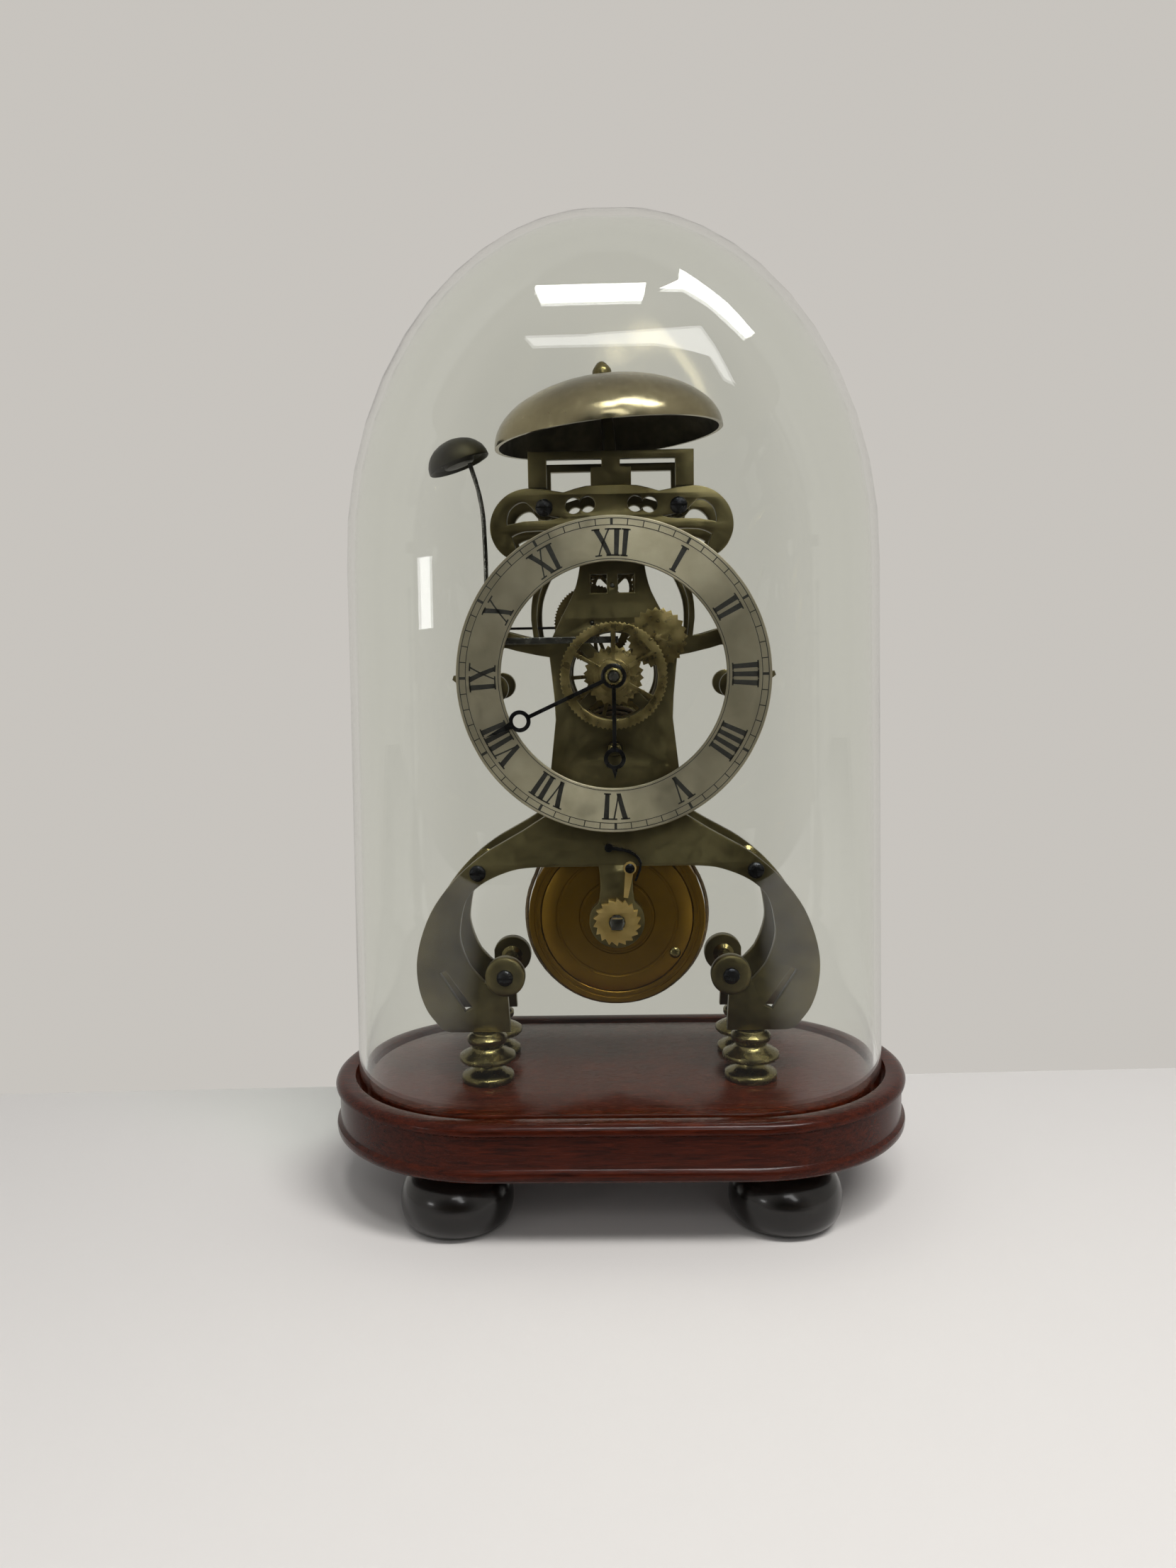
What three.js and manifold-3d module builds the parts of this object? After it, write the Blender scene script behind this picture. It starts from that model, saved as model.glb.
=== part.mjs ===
// Brass skeleton clock with a passing strike, standing on a wooden base under an oval glass dome.
// Millimetres, +Z up, dial towards -Y. The origin is on the table, under the middle of the base.
import * as THREE from 'three';
import { mergeVertices } from 'three/addons/utils/BufferGeometryUtils.js';
import Module from 'manifold-3d';

const wasm = await Module();
wasm.setup();

// Fits that all pieces share
const fitGap = 0.3;
const overrun = 2;

// Wooden base: four bun feet, a moulded plinth with a groove for the dome, and a raised board
const bunRadius = 22;
const bunHeight = 28;
const bunSpanX = 128;
const bunSpanY = 76;
const plinthHeight = 22.5;
const plinthRimWidth = 8.3;
const plinthMoulding = 1.2;
const grooveDepth = 6.5;
const boardThickness = 6;
const boardEdge = 1;

// Glass dome: stadium plan, upright sides that lean in a little, and an arched top
const domeHalfLength = 108;
const domeHalfDepth = 59;
const domeHeight = 344.7;
const domeWall = 3;
const domeLean = 3;
const domeSideLean = 1.5;
const domeArch = 134;
const domeSideArch = 74;

// Frame: two pierced brass plates on turned feet, held apart by six pillars
const footHeight = 20;
const footRadius = 11.5;
const footOffset = 53;
const frameHalfWidth = 80.6;
const frameHeight = 214;
const plateThickness = 4;
const plateGap = 30;
const pillarRadius = 3.4;
const pillarCollar = 1.5;
const voluteRadius = 8;
const voluteBulge = 1.4;
const armWidth = 7;
const armBallRadius = 5.4;
const hairScrollWidth = 2.2;
const earBandWidth = 4;
const crestHoleRadius = 3.1;
const barrelStrapWidth = 14;
const barrelBossRadius = 11;
const columnPiercingRadius = 17;
const columnHubRadius = 6.5;
const columnSpokeWidth = 4.4;
const windowWidth = 6.3;
const windowHeight = 7;
const windowBar = 4.2;

// Arbor places, from the top of the turned feet, as shares of the frame's height
const centreAboveShare = 0.66355;
const fuseeBelowCentreShare = 0.13318;
const barrelBelowCentreShare = 0.45327;
const thirdOffset = 8;
const pivotRadius = 0.6;
const studRadius = 1.2;
const centreArborRadius = 2;
const lightArborRadius = 0.8;

// Wheel train: teeth are counts, radii follow from the centre distances
const greatTeeth = 60;
const centrePinionTeeth = 10;
const centreTeeth = 72;
const thirdPinionTeeth = 6;
const thirdTeeth = 76;
const escapePinionTeeth = 6;
const escapeTeeth = 30;
const centreToThirdShare = 0.1014;
const thirdToEscapeShare = 0.07664;
const escapeRadiusShare = 0.04673;
const escapeToPalletsShare = 1.42;
const toothDepthShare = 0.72;
const leafTipShare = 0.7;
const leafRootShare = 1.3;
const wheelThickness = 1.5;
const greatWheelThickness = 3;
const pinionLength = 4.5;

// Motion work in front of the plate: cannon and minute wheel alike, twelve to one to the hour wheel
const motionTeeth = 24;
const minutePinionTeeth = 6;
const hourTeeth = 72;
const motionDistance = 22;
const motionAngle = 40;
const motionStandOff = 2.5;
const strikeCamRadius = 9.5;
const strikeCamLow = 6;

// Barrel, fusee and line
const barrelRadius = 35.5;
const barrelLength = 24;
const barrelWall = 2;
const barrelLip = 5;
const barrelArborRadius = 3;
const barrelCoreRadius = 5;
const mainspringThickness = 0.8;
const mainspringTurns = 4;
const fuseeLargeRadius = 16;
const fuseeSmallRadius = 9;
const fuseeLength = 16;
const fuseeArborRadius = 2.6;
const squareSide = 4.4;
const squareLength = 6;
const lineRadius = 0.8;
const fuseeLoops = 4;
const barrelTurnShare = 0.7;
const ratchetTeeth = 18;
const ratchetRadius = 9.5;
const ratchetThickness = 2.5;
const clickLength = 12;
const clickThickness = 2;
const clickWidth = 3.4;

// Dial and hands
const dialRadius = 60;
const dialBore = 43;
const dialThickness = 2;
const dialStandOff = 7.5;
const dialPostRadius = 2;
const handThickness = 1;
const handGap = 0.7;
const minuteHandLength = 54.5;
const minuteRingAt = 39.5;
const hourHandLength = 39.5;
const hourRingAt = 31.5;
const handRingRadius = 4.2;
const handRingBore = 2.6;
const handStemWidth = 1.5;
const handHubRadius = 4.6;
const handNutRadius = 3.4;
const minuteHandAngle = 245.3;
const hourHandAngle = 180;

// Pallets, crutch and pendulum
const palletThickness = 3;
const pendulumBehindPlate = 11;
const pendulumDropShare = 0.71195;
const pendulumRodRadius = 1.2;
const bobRadius = 26;
const bobThickness = 12;
const ratingNutRadius = 4;
const ratingNutHeight = 4;
const rodBelowBobShare = 0.16138;
const suspensionWidth = 6;
const suspensionThickness = 0.4;
const suspensionLength = 12;
const crutchLength = 36;
const crutchRadius = 0.8;
const cockWidth = 14;
const cockThickness = 3.5;
const cockFlange = 14;
const cockAboveArbor = 2.8;

// Bell, its stand and the hammer
const bellRadius = 45;
const bellHeight = 23.5;
const bellWall = 1.6;
const bellTilt = 5;
const bellStandHeight = 13;
const bellAboveStand = 7.2;
const bellPostSpan = 56;
const bellPostWidth = 7;
const bellBlockWidth = 15.4;
const bellBlockHeight = 7;
const bellBarHeight = 3;
const bellStudRadius = 2.5;
const bellCollarRadius = 5;
const bellNutRadius = 3.8;
const bellNutHeight = 6;
const hammerArborRadius = 1.5;
const hammerHubRadius = 3;
const hammerStemWidth = 1.8;
const hammerHeadRadius = 12.5;
const hammerHeadHeight = 10.5;
const hammerHeadTilt = 20;
const hammerTailHeight = 2.5;
const hammerTailThickness = 1.2;
const hammerSpringWidth = 1;

// Places that follow from the sizes above
const plinthBottom = bunHeight;
const plinthTop = plinthBottom + plinthHeight;
const grooveFloor = plinthTop - grooveDepth;
const boardTop = grooveFloor + boardThickness;
const frameBottom = boardTop + footHeight;
const frameTop = frameBottom + frameHeight;
const plateInner = plateGap / 2;
const plateOuter = plateInner + plateThickness;
const fuseeBelowCentre = fuseeBelowCentreShare * frameHeight;
const centreToThird = centreToThirdShare * frameHeight;
const thirdToEscape = thirdToEscapeShare * frameHeight;
const escapeRadius = escapeRadiusShare * frameHeight;
const escapeToPallets = escapeToPalletsShare * escapeRadius;
const centreZ = frameBottom + centreAboveShare * frameHeight;
const fuseeZ = centreZ - fuseeBelowCentre;
const barrelZ = centreZ - barrelBelowCentreShare * frameHeight;
const thirdZ = centreZ + Math.sqrt(centreToThird ** 2 - thirdOffset ** 2);
const escapeZ = thirdZ + Math.sqrt(thirdToEscape ** 2 - thirdOffset ** 2);
const palletZ = escapeZ + escapeToPallets;
const pendulumDrop = pendulumDropShare * (palletZ - boardTop);
const rodBelowBob = rodBelowBobShare * (palletZ - boardTop);
const pendulumY = plateOuter + pendulumBehindPlate;
const bobZ = palletZ - pendulumDrop;
const dialBack = -plateOuter - dialStandOff;
const dialFront = dialBack - dialThickness;
const hammerStemY = 0;

const brass = new THREE.MeshStandardMaterial({ color: 0x8a6f3a, roughness: 0.38, metalness: 1 });
const amberBrass = new THREE.MeshStandardMaterial({ color: 0x9a6a22, roughness: 0.34, metalness: 1 });
const bellMetal = new THREE.MeshStandardMaterial({ color: 0x9a8a66, roughness: 0.28, metalness: 1 });
const steel = new THREE.MeshStandardMaterial({ color: 0x3a3c3e, roughness: 0.35, metalness: 1 });
const silvered = new THREE.MeshStandardMaterial({ color: 0xb8b29c, roughness: 0.5, metalness: 0.6 });
const mahogany = new THREE.MeshStandardMaterial({ color: 0x3c1208, roughness: 0.22, metalness: 0 });
const ebonised = new THREE.MeshStandardMaterial({ color: 0x0b0908, roughness: 0.25, metalness: 0 });
const gutLine = new THREE.MeshStandardMaterial({ color: 0x6b5a3a, roughness: 0.6, metalness: 0 });
const glass = new THREE.MeshStandardMaterial({
  color: 0xdfe9e2, roughness: 0.05, metalness: 0, transparent: true, opacity: 0.25,
});

// A closed mesh: shared corners merged, slivers dropped, faces turned outwards
function sound(source) {
  const bare = source.clone();
  bare.deleteAttribute('normal');
  bare.deleteAttribute('uv');
  const geometry = mergeVertices(bare, 1e-4);
  const corners = geometry.index.array;
  const place = geometry.attributes.position;
  const kept = [];
  const a = new THREE.Vector3();
  const b = new THREE.Vector3();
  const c = new THREE.Vector3();
  let volume = 0;
  for (let i = 0; i < corners.length; i += 3) {
    const [p, q, r] = [corners[i], corners[i + 1], corners[i + 2]];
    if (p === q || q === r || r === p) continue;
    kept.push(p, q, r);
    a.fromBufferAttribute(place, p);
    b.fromBufferAttribute(place, q);
    c.fromBufferAttribute(place, r);
    volume += a.dot(b.cross(c));
  }
  if (volume < 0) kept.reverse();
  geometry.setIndex(kept);
  geometry.computeVertexNormals();
  return geometry;
}

function toManifold(geometry) {
  const closed = sound(geometry);
  return new wasm.Manifold(new wasm.Mesh({
    numProp: 3,
    vertProperties: new Float32Array(closed.attributes.position.array),
    triVerts: new Uint32Array(closed.index.array),
  }));
}

function toGeometry(manifold) {
  const mesh = manifold.getMesh();
  const geometry = new THREE.BufferGeometry();
  geometry.setAttribute('position', new THREE.BufferAttribute(mesh.vertProperties, 3));
  geometry.setIndex(new THREE.BufferAttribute(mesh.triVerts, 1));
  return geometry;
}

function join(...geometries) {
  return toGeometry(geometries.map(toManifold).reduce((whole, next) => whole.add(next)));
}

function cut(geometry, ...tools) {
  return toGeometry(tools.map(toManifold).reduce((rest, tool) => rest.subtract(tool), toManifold(geometry)));
}

// Round piece about an upright axis, from [radius, height] points
function turnedUpright(profile, segments) {
  const points = profile.map(([radius, height]) => new THREE.Vector2(radius, height));
  return new THREE.LatheGeometry(points, segments).rotateX(Math.PI / 2);
}

// Round piece about a front-to-back axis, from [radius, y] points
function turnedAlong(profile, segments) {
  return new THREE.LatheGeometry(profile.map(([radius, y]) => new THREE.Vector2(radius, y)), segments);
}

function rod(radius, front, back, segments = 12) {
  return turnedAlong([[0, front], [radius, front], [radius, back], [0, back]], segments);
}

// Upright sheet: the outline lies in X and Z, the thickness runs from y to y + thickness
function sheet(shape, y, thickness, curveSegments = 3) {
  const options = { depth: thickness, bevelEnabled: false, curveSegments };
  return new THREE.ExtrudeGeometry(shape, options).rotateX(Math.PI / 2).translate(0, y + thickness, 0);
}

function block(x0, x1, y0, y1, z0, z1) {
  const box = new THREE.BoxGeometry(x1 - x0, y1 - y0, z1 - z0);
  return box.translate((x0 + x1) / 2, (y0 + y1) / 2, (z0 + z1) / 2);
}

function circlePath(radius, corners = 10) {
  const around = Array.from({ length: corners }, (_, i) => (-2 * Math.PI * i) / corners);
  return new THREE.Path(around.map((angle) => new THREE.Vector2(
    radius * Math.cos(angle), radius * Math.sin(angle),
  )));
}

function disc(radius, x = 0, z = 0) {
  return new THREE.Shape().absarc(x, z, radius, 0, 2 * Math.PI, false);
}

// Band of changing width along a smooth centre line
function ribbon(centre, widths, samples) {
  const line = new THREE.SplineCurve(centre.map(([x, z]) => new THREE.Vector2(x, z)));
  const left = [];
  const right = [];
  for (let i = 0; i <= samples; i += 1) {
    const t = i / samples;
    const point = line.getPoint(t);
    const tangent = line.getTangent(t);
    const spot = t * (widths.length - 1);
    const k = Math.min(Math.floor(spot), widths.length - 2);
    const half = THREE.MathUtils.lerp(widths[k], widths[k + 1], spot - k) / 2;
    const normal = new THREE.Vector2(-tangent.y, tangent.x);
    left.push(point.clone().addScaledVector(normal, half));
    right.unshift(point.clone().addScaledVector(normal, -half));
  }
  return new THREE.Shape([...left, ...right]);
}

// Solid swept round a stadium: each ring has a half straight, a radius and a height
function stadiumLoft(rings, arcSteps) {
  const around = 2 * (arcSteps + 1);
  const positions = [];
  for (const { straight, radius, z } of rings) {
    for (let j = 0; j < around; j += 1) {
      const end = j <= arcSteps ? 1 : -1;
      const step = j <= arcSteps ? j : j - arcSteps - 1;
      const angle = Math.PI * (step / arcSteps) - Math.PI / 2;
      positions.push(end * (straight + radius * Math.cos(angle)), end * radius * Math.sin(angle), z);
    }
  }
  const index = [];
  for (let i = 0; i + 1 < rings.length; i += 1) {
    for (let j = 0; j < around; j += 1) {
      const next = (j + 1) % around;
      const [a, b] = [i * around + j, i * around + next];
      index.push(a, a + around, b, b, a + around, b + around);
    }
  }
  const geometry = new THREE.BufferGeometry();
  geometry.setAttribute('position', new THREE.Float32BufferAttribute(positions, 3));
  geometry.setIndex(index);
  return geometry;
}

// Toothed wheel outline; shares place the corners of one tooth within its pitch
const wheelToothShares = [[0, 1], [0.5, 0]];
const pinionLeafShares = [[0, 1], [0.36, 0], [0.64, 0]];
const sawToothShares = [[0, 1], [0.2, 0]];

function gearShape(teeth, tip, root, toothShares, firstTooth) {
  const points = [];
  const pitch = (2 * Math.PI) / teeth;
  for (let k = 0; k < teeth; k += 1) {
    for (const [angleShare, heightShare] of toothShares) {
      const angle = firstTooth + (k + angleShare) * pitch;
      const radius = root + (tip - root) * heightShare;
      points.push(new THREE.Vector2(radius * Math.cos(angle), radius * Math.sin(angle)));
    }
  }
  return new THREE.Shape(points);
}

function addCrossings(shape, spokes, hub, rim, spokeWidth, firstSpoke = 0) {
  const pitch = (2 * Math.PI) / spokes;
  for (let k = 0; k < spokes; k += 1) {
    const start = firstSpoke + k * pitch;
    const outer = Math.asin(spokeWidth / 2 / rim);
    const inner = Math.asin(spokeWidth / 2 / hub);
    const hole = new THREE.Path();
    hole.absarc(0, 0, rim, start + outer, start + pitch - outer, false);
    hole.absarc(0, 0, hub, start + pitch - inner, start + inner, true);
    shape.holes.push(hole);
  }
  return shape;
}

// A meshing pair: pitch radii share the centre distance, teeth reach past them by a part of the module
function meshedPair(distance, wheelTeeth, pinionTeeth) {
  const moduleSize = (2 * distance) / (wheelTeeth + pinionTeeth);
  const reach = moduleSize * toothDepthShare;
  const wheelPitch = (moduleSize * wheelTeeth) / 2;
  const pinionPitch = (moduleSize * pinionTeeth) / 2;
  return {
    wheelTip: wheelPitch + reach, wheelRoot: wheelPitch - reach,
    pinionTip: pinionPitch + reach * leafTipShare, pinionRoot: pinionPitch - reach * leafRootShare,
  };
}

const clock = new THREE.Group();

function piece(parent, name, geometry, material, x = 0, y = 0, z = 0) {
  const mesh = new THREE.Mesh(sound(geometry), material);
  mesh.name = name;
  mesh.position.set(x, y, z);
  parent.add(mesh);
  return mesh;
}

// Base
const domeStraight = domeHalfLength - domeHalfDepth;
const grooveOuter = domeHalfDepth + plinthMoulding;
const plinthRadius = grooveOuter + plinthRimWidth;
const boardRadius = domeHalfDepth - domeWall - boardEdge;
const bunProfileShares = [
  [0, 0], [0.62, 0], [0.86, 0.1], [1, 0.38], [0.95, 0.62], [0.72, 0.82], [0.62, 0.88], [0.66, 1], [0, 1],
];

function makePlinth() {
  const edge = plinthMoulding;
  const bead = 2 * edge;
  const rows = [
    [0, grooveFloor],
    [grooveOuter, grooveFloor],
    [grooveOuter, plinthTop - edge],
    [grooveOuter + edge, plinthTop],
    [plinthRadius - bead, plinthTop],
    [plinthRadius, plinthTop - bead],
    [plinthRadius, plinthTop - bead - edge],
    [plinthRadius - edge, plinthTop - 2 * bead],
    [plinthRadius - edge, plinthBottom + 2 * bead],
    [plinthRadius, plinthBottom + 2 * bead - edge],
    [plinthRadius, plinthBottom + edge],
    [plinthRadius - edge, plinthBottom],
    [0, plinthBottom],
  ];
  return stadiumLoft(rows.map(([radius, z]) => ({ straight: domeStraight, radius, z })), 10);
}

function makeBoard() {
  const rows = [
    [0, boardTop],
    [boardRadius - boardEdge, boardTop],
    [boardRadius, boardTop - boardEdge],
    [boardRadius, grooveFloor],
    [0, grooveFloor],
  ];
  return stadiumLoft(rows.map(([radius, z]) => ({ straight: domeStraight, radius, z })), 10);
}

const base = new THREE.Group();
clock.add(base);
piece(base, 'base_plinth', makePlinth(), mahogany);
piece(base, 'base_board', makeBoard(), mahogany);
const sides = [['left', -1], ['right', 1]];
const depths = [['front', -1], ['back', 1]];
const bunProfile = bunProfileShares.map(([r, h]) => [r * bunRadius, h * bunHeight]);
for (const [sideName, side] of sides) {
  for (const [depthName, depth] of depths) {
    const bun = turnedUpright(bunProfile, 16);
    const name = `bun_foot_${depthName}_${sideName}`;
    piece(base, name, bun, ebonised, (side * bunSpanX) / 2, (depth * bunSpanY) / 2);
  }
}

// Dome: outside from the top down, then inside from the rim up
const domeLevelShares = [1, 0.97, 0.88, 0.72, 0.5, 0.25, 0];

function domeRing(share, inset) {
  const top = grooveFloor + fitGap + domeHeight;
  const z = top - domeArch + share * (domeArch - inset);
  const sideFoot = top - domeSideArch;
  const sideShare = Math.max(0, (z - sideFoot) / (domeSideArch - inset));
  const halfLength = (domeHalfLength - domeLean - inset) * Math.sqrt(1 - share ** 2);
  const full = domeHalfDepth - domeSideLean - inset;
  const radius = full * Math.sqrt(Math.max(0, 1 - sideShare ** 2));
  return { straight: Math.max(0, halfLength - radius), radius: Math.min(radius, halfLength), z };
}

function makeDome() {
  const foot = (inset) => ({
    straight: domeStraight, radius: domeHalfDepth - inset, z: grooveFloor + fitGap,
  });
  const outside = domeLevelShares.map((share) => domeRing(share, 0));
  const inside = domeLevelShares.map((share) => domeRing(share, domeWall)).reverse();
  return stadiumLoft([...outside, foot(0), foot(domeWall), ...inside], 9);
}

piece(clock, 'glass_dome', makeDome(), glass);

// Frame plates. Outlines are shares of the frame's half width and height, for the right side;
// the left side is the same with x reversed.
const scrollOutsideShares = [
  [0.316, 0.414], [0.475, 0.376], [0.638, 0.341], [0.794, 0.292], [0.919, 0.229], [0.988, 0.154],
  [0.991, 0.093], [0.95, 0.042], [0.875, 0.005],
];
const scrollFootShares = [[0.825, 0], [0.538, 0], [0.544, 0.047], [0.55, 0.093]];
const scrollInsideShares = [
  [0.662, 0.096], [0.731, 0.126], [0.772, 0.168], [0.775, 0.201], [0.741, 0.252], [0.65, 0.285],
  [0.5, 0.308], [0.362, 0.313],
];
const crossbarShares = { top: 0.4065, topHalf: 0.275, bottom: 0.313, past: -0.0125 };
const slitShares = [[0.854, 0.119], [0.885, 0.1135], [0.7625, 0.04], [0.725, 0.047]];
const columnShares = [
  [0.31, 0.4065], [0.309, 0.505], [0.28, 0.603], [0.305, 0.687], [0.306, 0.715], [0.275, 0.75],
  [0.2, 0.799], [0.16, 0.846], [0.15, 0.897], [0.1625, 0.93],
];
const columnFootShare = 0.374;
const armShares = [
  [0.275, 0.7126], [0.4125, 0.7196], [0.525, 0.731], [0.625, 0.726], [0.669, 0.689], [0.6375, 0.654],
  [0.575, 0.6425],
];
const armWidthShares = [1.03, 0.86, 0.91, 1.26, 0.97, 0.86, 0.86];
const armTipShares = [[0.575, 0.6425], [0.68, 0.6525], [0.775, 0.6636]];
const armTipWidthShares = [1, 0.9, 0.25];
const hairScrollShares = [
  [0.366, 0.729], [0.3775, 0.785], [0.3375, 0.8364], [0.256, 0.888], [0.1625, 0.9206],
];
const earShares = [
  [0.1625, 0.967], [0.3, 0.97], [0.4125, 0.986], [0.506, 0.967], [0.5375, 0.932], [0.506, 0.8995],
  [0.469, 0.881],
];
const earWidthShares = [2, 2.7, 1.1, 1.25, 1.65, 1.85, 0.9];
const earBarShares = [[0.1625, 0.939], [0.3, 0.932], [0.4125, 0.931], [0.5125, 0.9206]];
const earBarWidthShares = [1.25, 0.95, 0.95, 1.25];
const crestShares = [[0.24, 0.916], [0.24, 0.988], [0.12, 1], [-0.0125, 1], [-0.0125, 0.916]];
const crestHoleShares = [[0.115, 0.968], [0.18, 0.966]];
const voluteShares = [0.558, 0.106];
const shoulderPillarShares = [0.681, 0.303];
const topPillarShares = [0.318, 0.963];
const dialPostShares = [0.25, 0.444];
const armBallShares = armShares[armShares.length - 1];
const hammerPivotShares = armShares[3];

function onFrame([xShare, zShare], side = 1) {
  return [side * xShare * frameHalfWidth, frameBottom + zShare * frameHeight];
}

function vectorsOnFrame(shares, side) {
  return shares.map((share) => new THREE.Vector2(...onFrame(share, side)));
}

function lowerScrollShape(side) {
  const past = crossbarShares.past;
  const shape = new THREE.Shape();
  shape.moveTo(...onFrame([past, crossbarShares.top], side));
  shape.lineTo(...onFrame([crossbarShares.topHalf, crossbarShares.top], side));
  shape.lineTo(...onFrame(scrollOutsideShares[0], side));
  shape.splineThru(vectorsOnFrame(scrollOutsideShares.slice(1), side));
  for (const corner of vectorsOnFrame(scrollFootShares, side)) shape.lineTo(corner.x, corner.y);
  shape.lineTo(...onFrame(scrollInsideShares[0], side));
  shape.splineThru(vectorsOnFrame(scrollInsideShares.slice(1), side));
  shape.lineTo(...onFrame([past, crossbarShares.bottom], side));
  return shape;
}

function columnShape(side) {
  const shape = new THREE.Shape();
  shape.moveTo(...onFrame([crossbarShares.past, columnFootShare], side));
  shape.lineTo(...onFrame([columnShares[0][0], columnFootShare], side));
  shape.lineTo(...onFrame(columnShares[0], side));
  shape.splineThru(vectorsOnFrame(columnShares.slice(1), side));
  shape.lineTo(...onFrame([crossbarShares.past, columnShares[columnShares.length - 1][1]], side));
  return shape;
}

function makePlateBlank() {
  const t = plateThickness;
  const parts = [];
  const holes = [];
  const scaled = (shares, size) => shares.map((share) => share * size);
  for (const side of [-1, 1]) {
    const points = (shares) => shares.map((share) => onFrame(share, side));
    const hairWidths = hairScrollShares.map(() => hairScrollWidth);
    parts.push(sheet(lowerScrollShape(side), 0, t, 2));
    parts.push(sheet(columnShape(side), 0, t, 1));
    parts.push(sheet(ribbon(points(armShares), scaled(armWidthShares, armWidth), 9), 0, t));
    parts.push(sheet(ribbon(points(armTipShares), scaled(armTipWidthShares, armWidth), 3), 0, t));
    parts.push(sheet(ribbon(points(hairScrollShares), hairWidths, 6), 0, t));
    parts.push(sheet(ribbon(points(earShares), scaled(earWidthShares, earBandWidth), 10), 0, t));
    parts.push(sheet(ribbon(points(earBarShares), scaled(earBarWidthShares, earBandWidth), 3), 0, t));
    parts.push(sheet(new THREE.Shape(vectorsOnFrame(crestShares, side)), 0, t));
    const volute = [
      [0, -voluteBulge], [voluteRadius * 0.6, -voluteBulge], [voluteRadius, 0], [voluteRadius, t], [0, t],
    ];
    const [voluteX, voluteZ] = onFrame(voluteShares, side);
    parts.push(turnedAlong(volute, 10).translate(voluteX, 0, voluteZ));
    parts.push(sheet(disc(armBallRadius, ...onFrame(armBallShares, side)), 0, t, 4));
    holes.push(sheet(new THREE.Shape(vectorsOnFrame(slitShares, side)), -overrun, t + 2 * overrun));
    for (const share of crestHoleShares) {
      holes.push(sheet(disc(crestHoleRadius, ...onFrame(share, side)), -overrun, t + 2 * overrun, 4));
    }
    const windowX = (side * (windowBar + windowWidth)) / 2;
    const windowTop = escapeZ + windowHeight * 0.6;
    holes.push(block(
      windowX - windowWidth / 2, windowX + windowWidth / 2, -overrun, t + overrun,
      windowTop - windowHeight, windowTop,
    ));
  }
  const strapHalf = barrelStrapWidth / 2;
  const crossbarTop = frameBottom + crossbarShares.top * frameHeight;
  parts.push(block(-strapHalf, strapHalf, 0, t, barrelZ, crossbarTop));
  parts.push(sheet(disc(barrelBossRadius, 0, barrelZ), 0, t, 7));
  const piercing = disc(columnPiercingRadius, 0, 0);
  const starRim = columnPiercingRadius - fitGap;
  const star = addCrossings(piercing, 4, columnHubRadius, starRim, columnSpokeWidth, Math.PI / 4);
  for (const hole of star.holes) {
    holes.push(sheet(new THREE.Shape(hole.getPoints(2)), -overrun, t + 2 * overrun).translate(0, 0, centreZ));
  }
  return cut(join(...parts), ...holes);
}

// Pivot holes, cut where the arbors run
const [hammerX, hammerZ] = onFrame(hammerPivotShares, -1);
const pivotHoles = [
  [centreArborRadius, 0, centreZ],
  [fuseeArborRadius, 0, fuseeZ],
  [barrelArborRadius, 0, barrelZ],
  [pivotRadius, -thirdOffset, thirdZ],
  [pivotRadius, 0, escapeZ],
  [pivotRadius, 0, palletZ],
  [hammerArborRadius, hammerX, hammerZ],
];

function withPivotHoles(blank, inner, outer) {
  const low = Math.min(inner, outer) - overrun;
  const high = Math.max(inner, outer) + overrun;
  const holes = pivotHoles.map(([radius, x, z]) => rod(radius + fitGap, low, high, 8).translate(x, 0, z));
  return cut(blank, ...holes);
}

const frame = new THREE.Group();
clock.add(frame);
const frontBlank = makePlateBlank().translate(0, -plateOuter, 0);
const backBlank = makePlateBlank().rotateZ(Math.PI).translate(0, plateOuter, 0);
piece(frame, 'front_plate', withPivotHoles(frontBlank, -plateInner, -plateOuter), brass);
piece(frame, 'back_plate', withPivotHoles(backBlank, plateInner, plateOuter), brass);

const footProfileShares = [
  [0, 0], [0.92, 0], [0.92, 0.14], [0.5, 0.26], [0.48, 0.36], [1, 0.42], [1, 0.54], [0.55, 0.68], [0.7, 0.8],
  [0.7, 0.92], [0.5, 1], [0, 1],
];
const footProfile = footProfileShares.map(([r, h]) => [r * footRadius, h * footHeight]);
for (const [sideName, side] of sides) {
  for (const [depthName, depth] of depths) {
    const foot = turnedUpright(footProfile, 10);
    const y = (depth * (plateInner + plateOuter)) / 2;
    piece(frame, `frame_foot_${depthName}_${sideName}`, foot, brass, side * footOffset, y, boardTop);
  }
}

const pillarProfileShares = [[1.3, 0], [1.3, 0.05], [0.8, 0.1], [1.1, 0.46]];
function makePillar() {
  const half = pillarProfileShares.map(([r, y]) => [r * pillarRadius, y * plateGap - plateInner]);
  const mirrored = half.map(([r, y]) => [r, -y]).reverse();
  return turnedAlong([[0, -plateInner], ...half, ...mirrored, [0, plateInner]], 10);
}
const pillarPlaces = [['volute', voluteShares], ['shoulder', shoulderPillarShares], ['top', topPillarShares]];
for (const [placeName, shares] of pillarPlaces) {
  for (const [sideName, side] of sides) {
    const [x, z] = onFrame(shares, side);
    piece(frame, `pillar_${placeName}_${sideName}`, makePillar(), brass, x, 0, z);
  }
}

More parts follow.
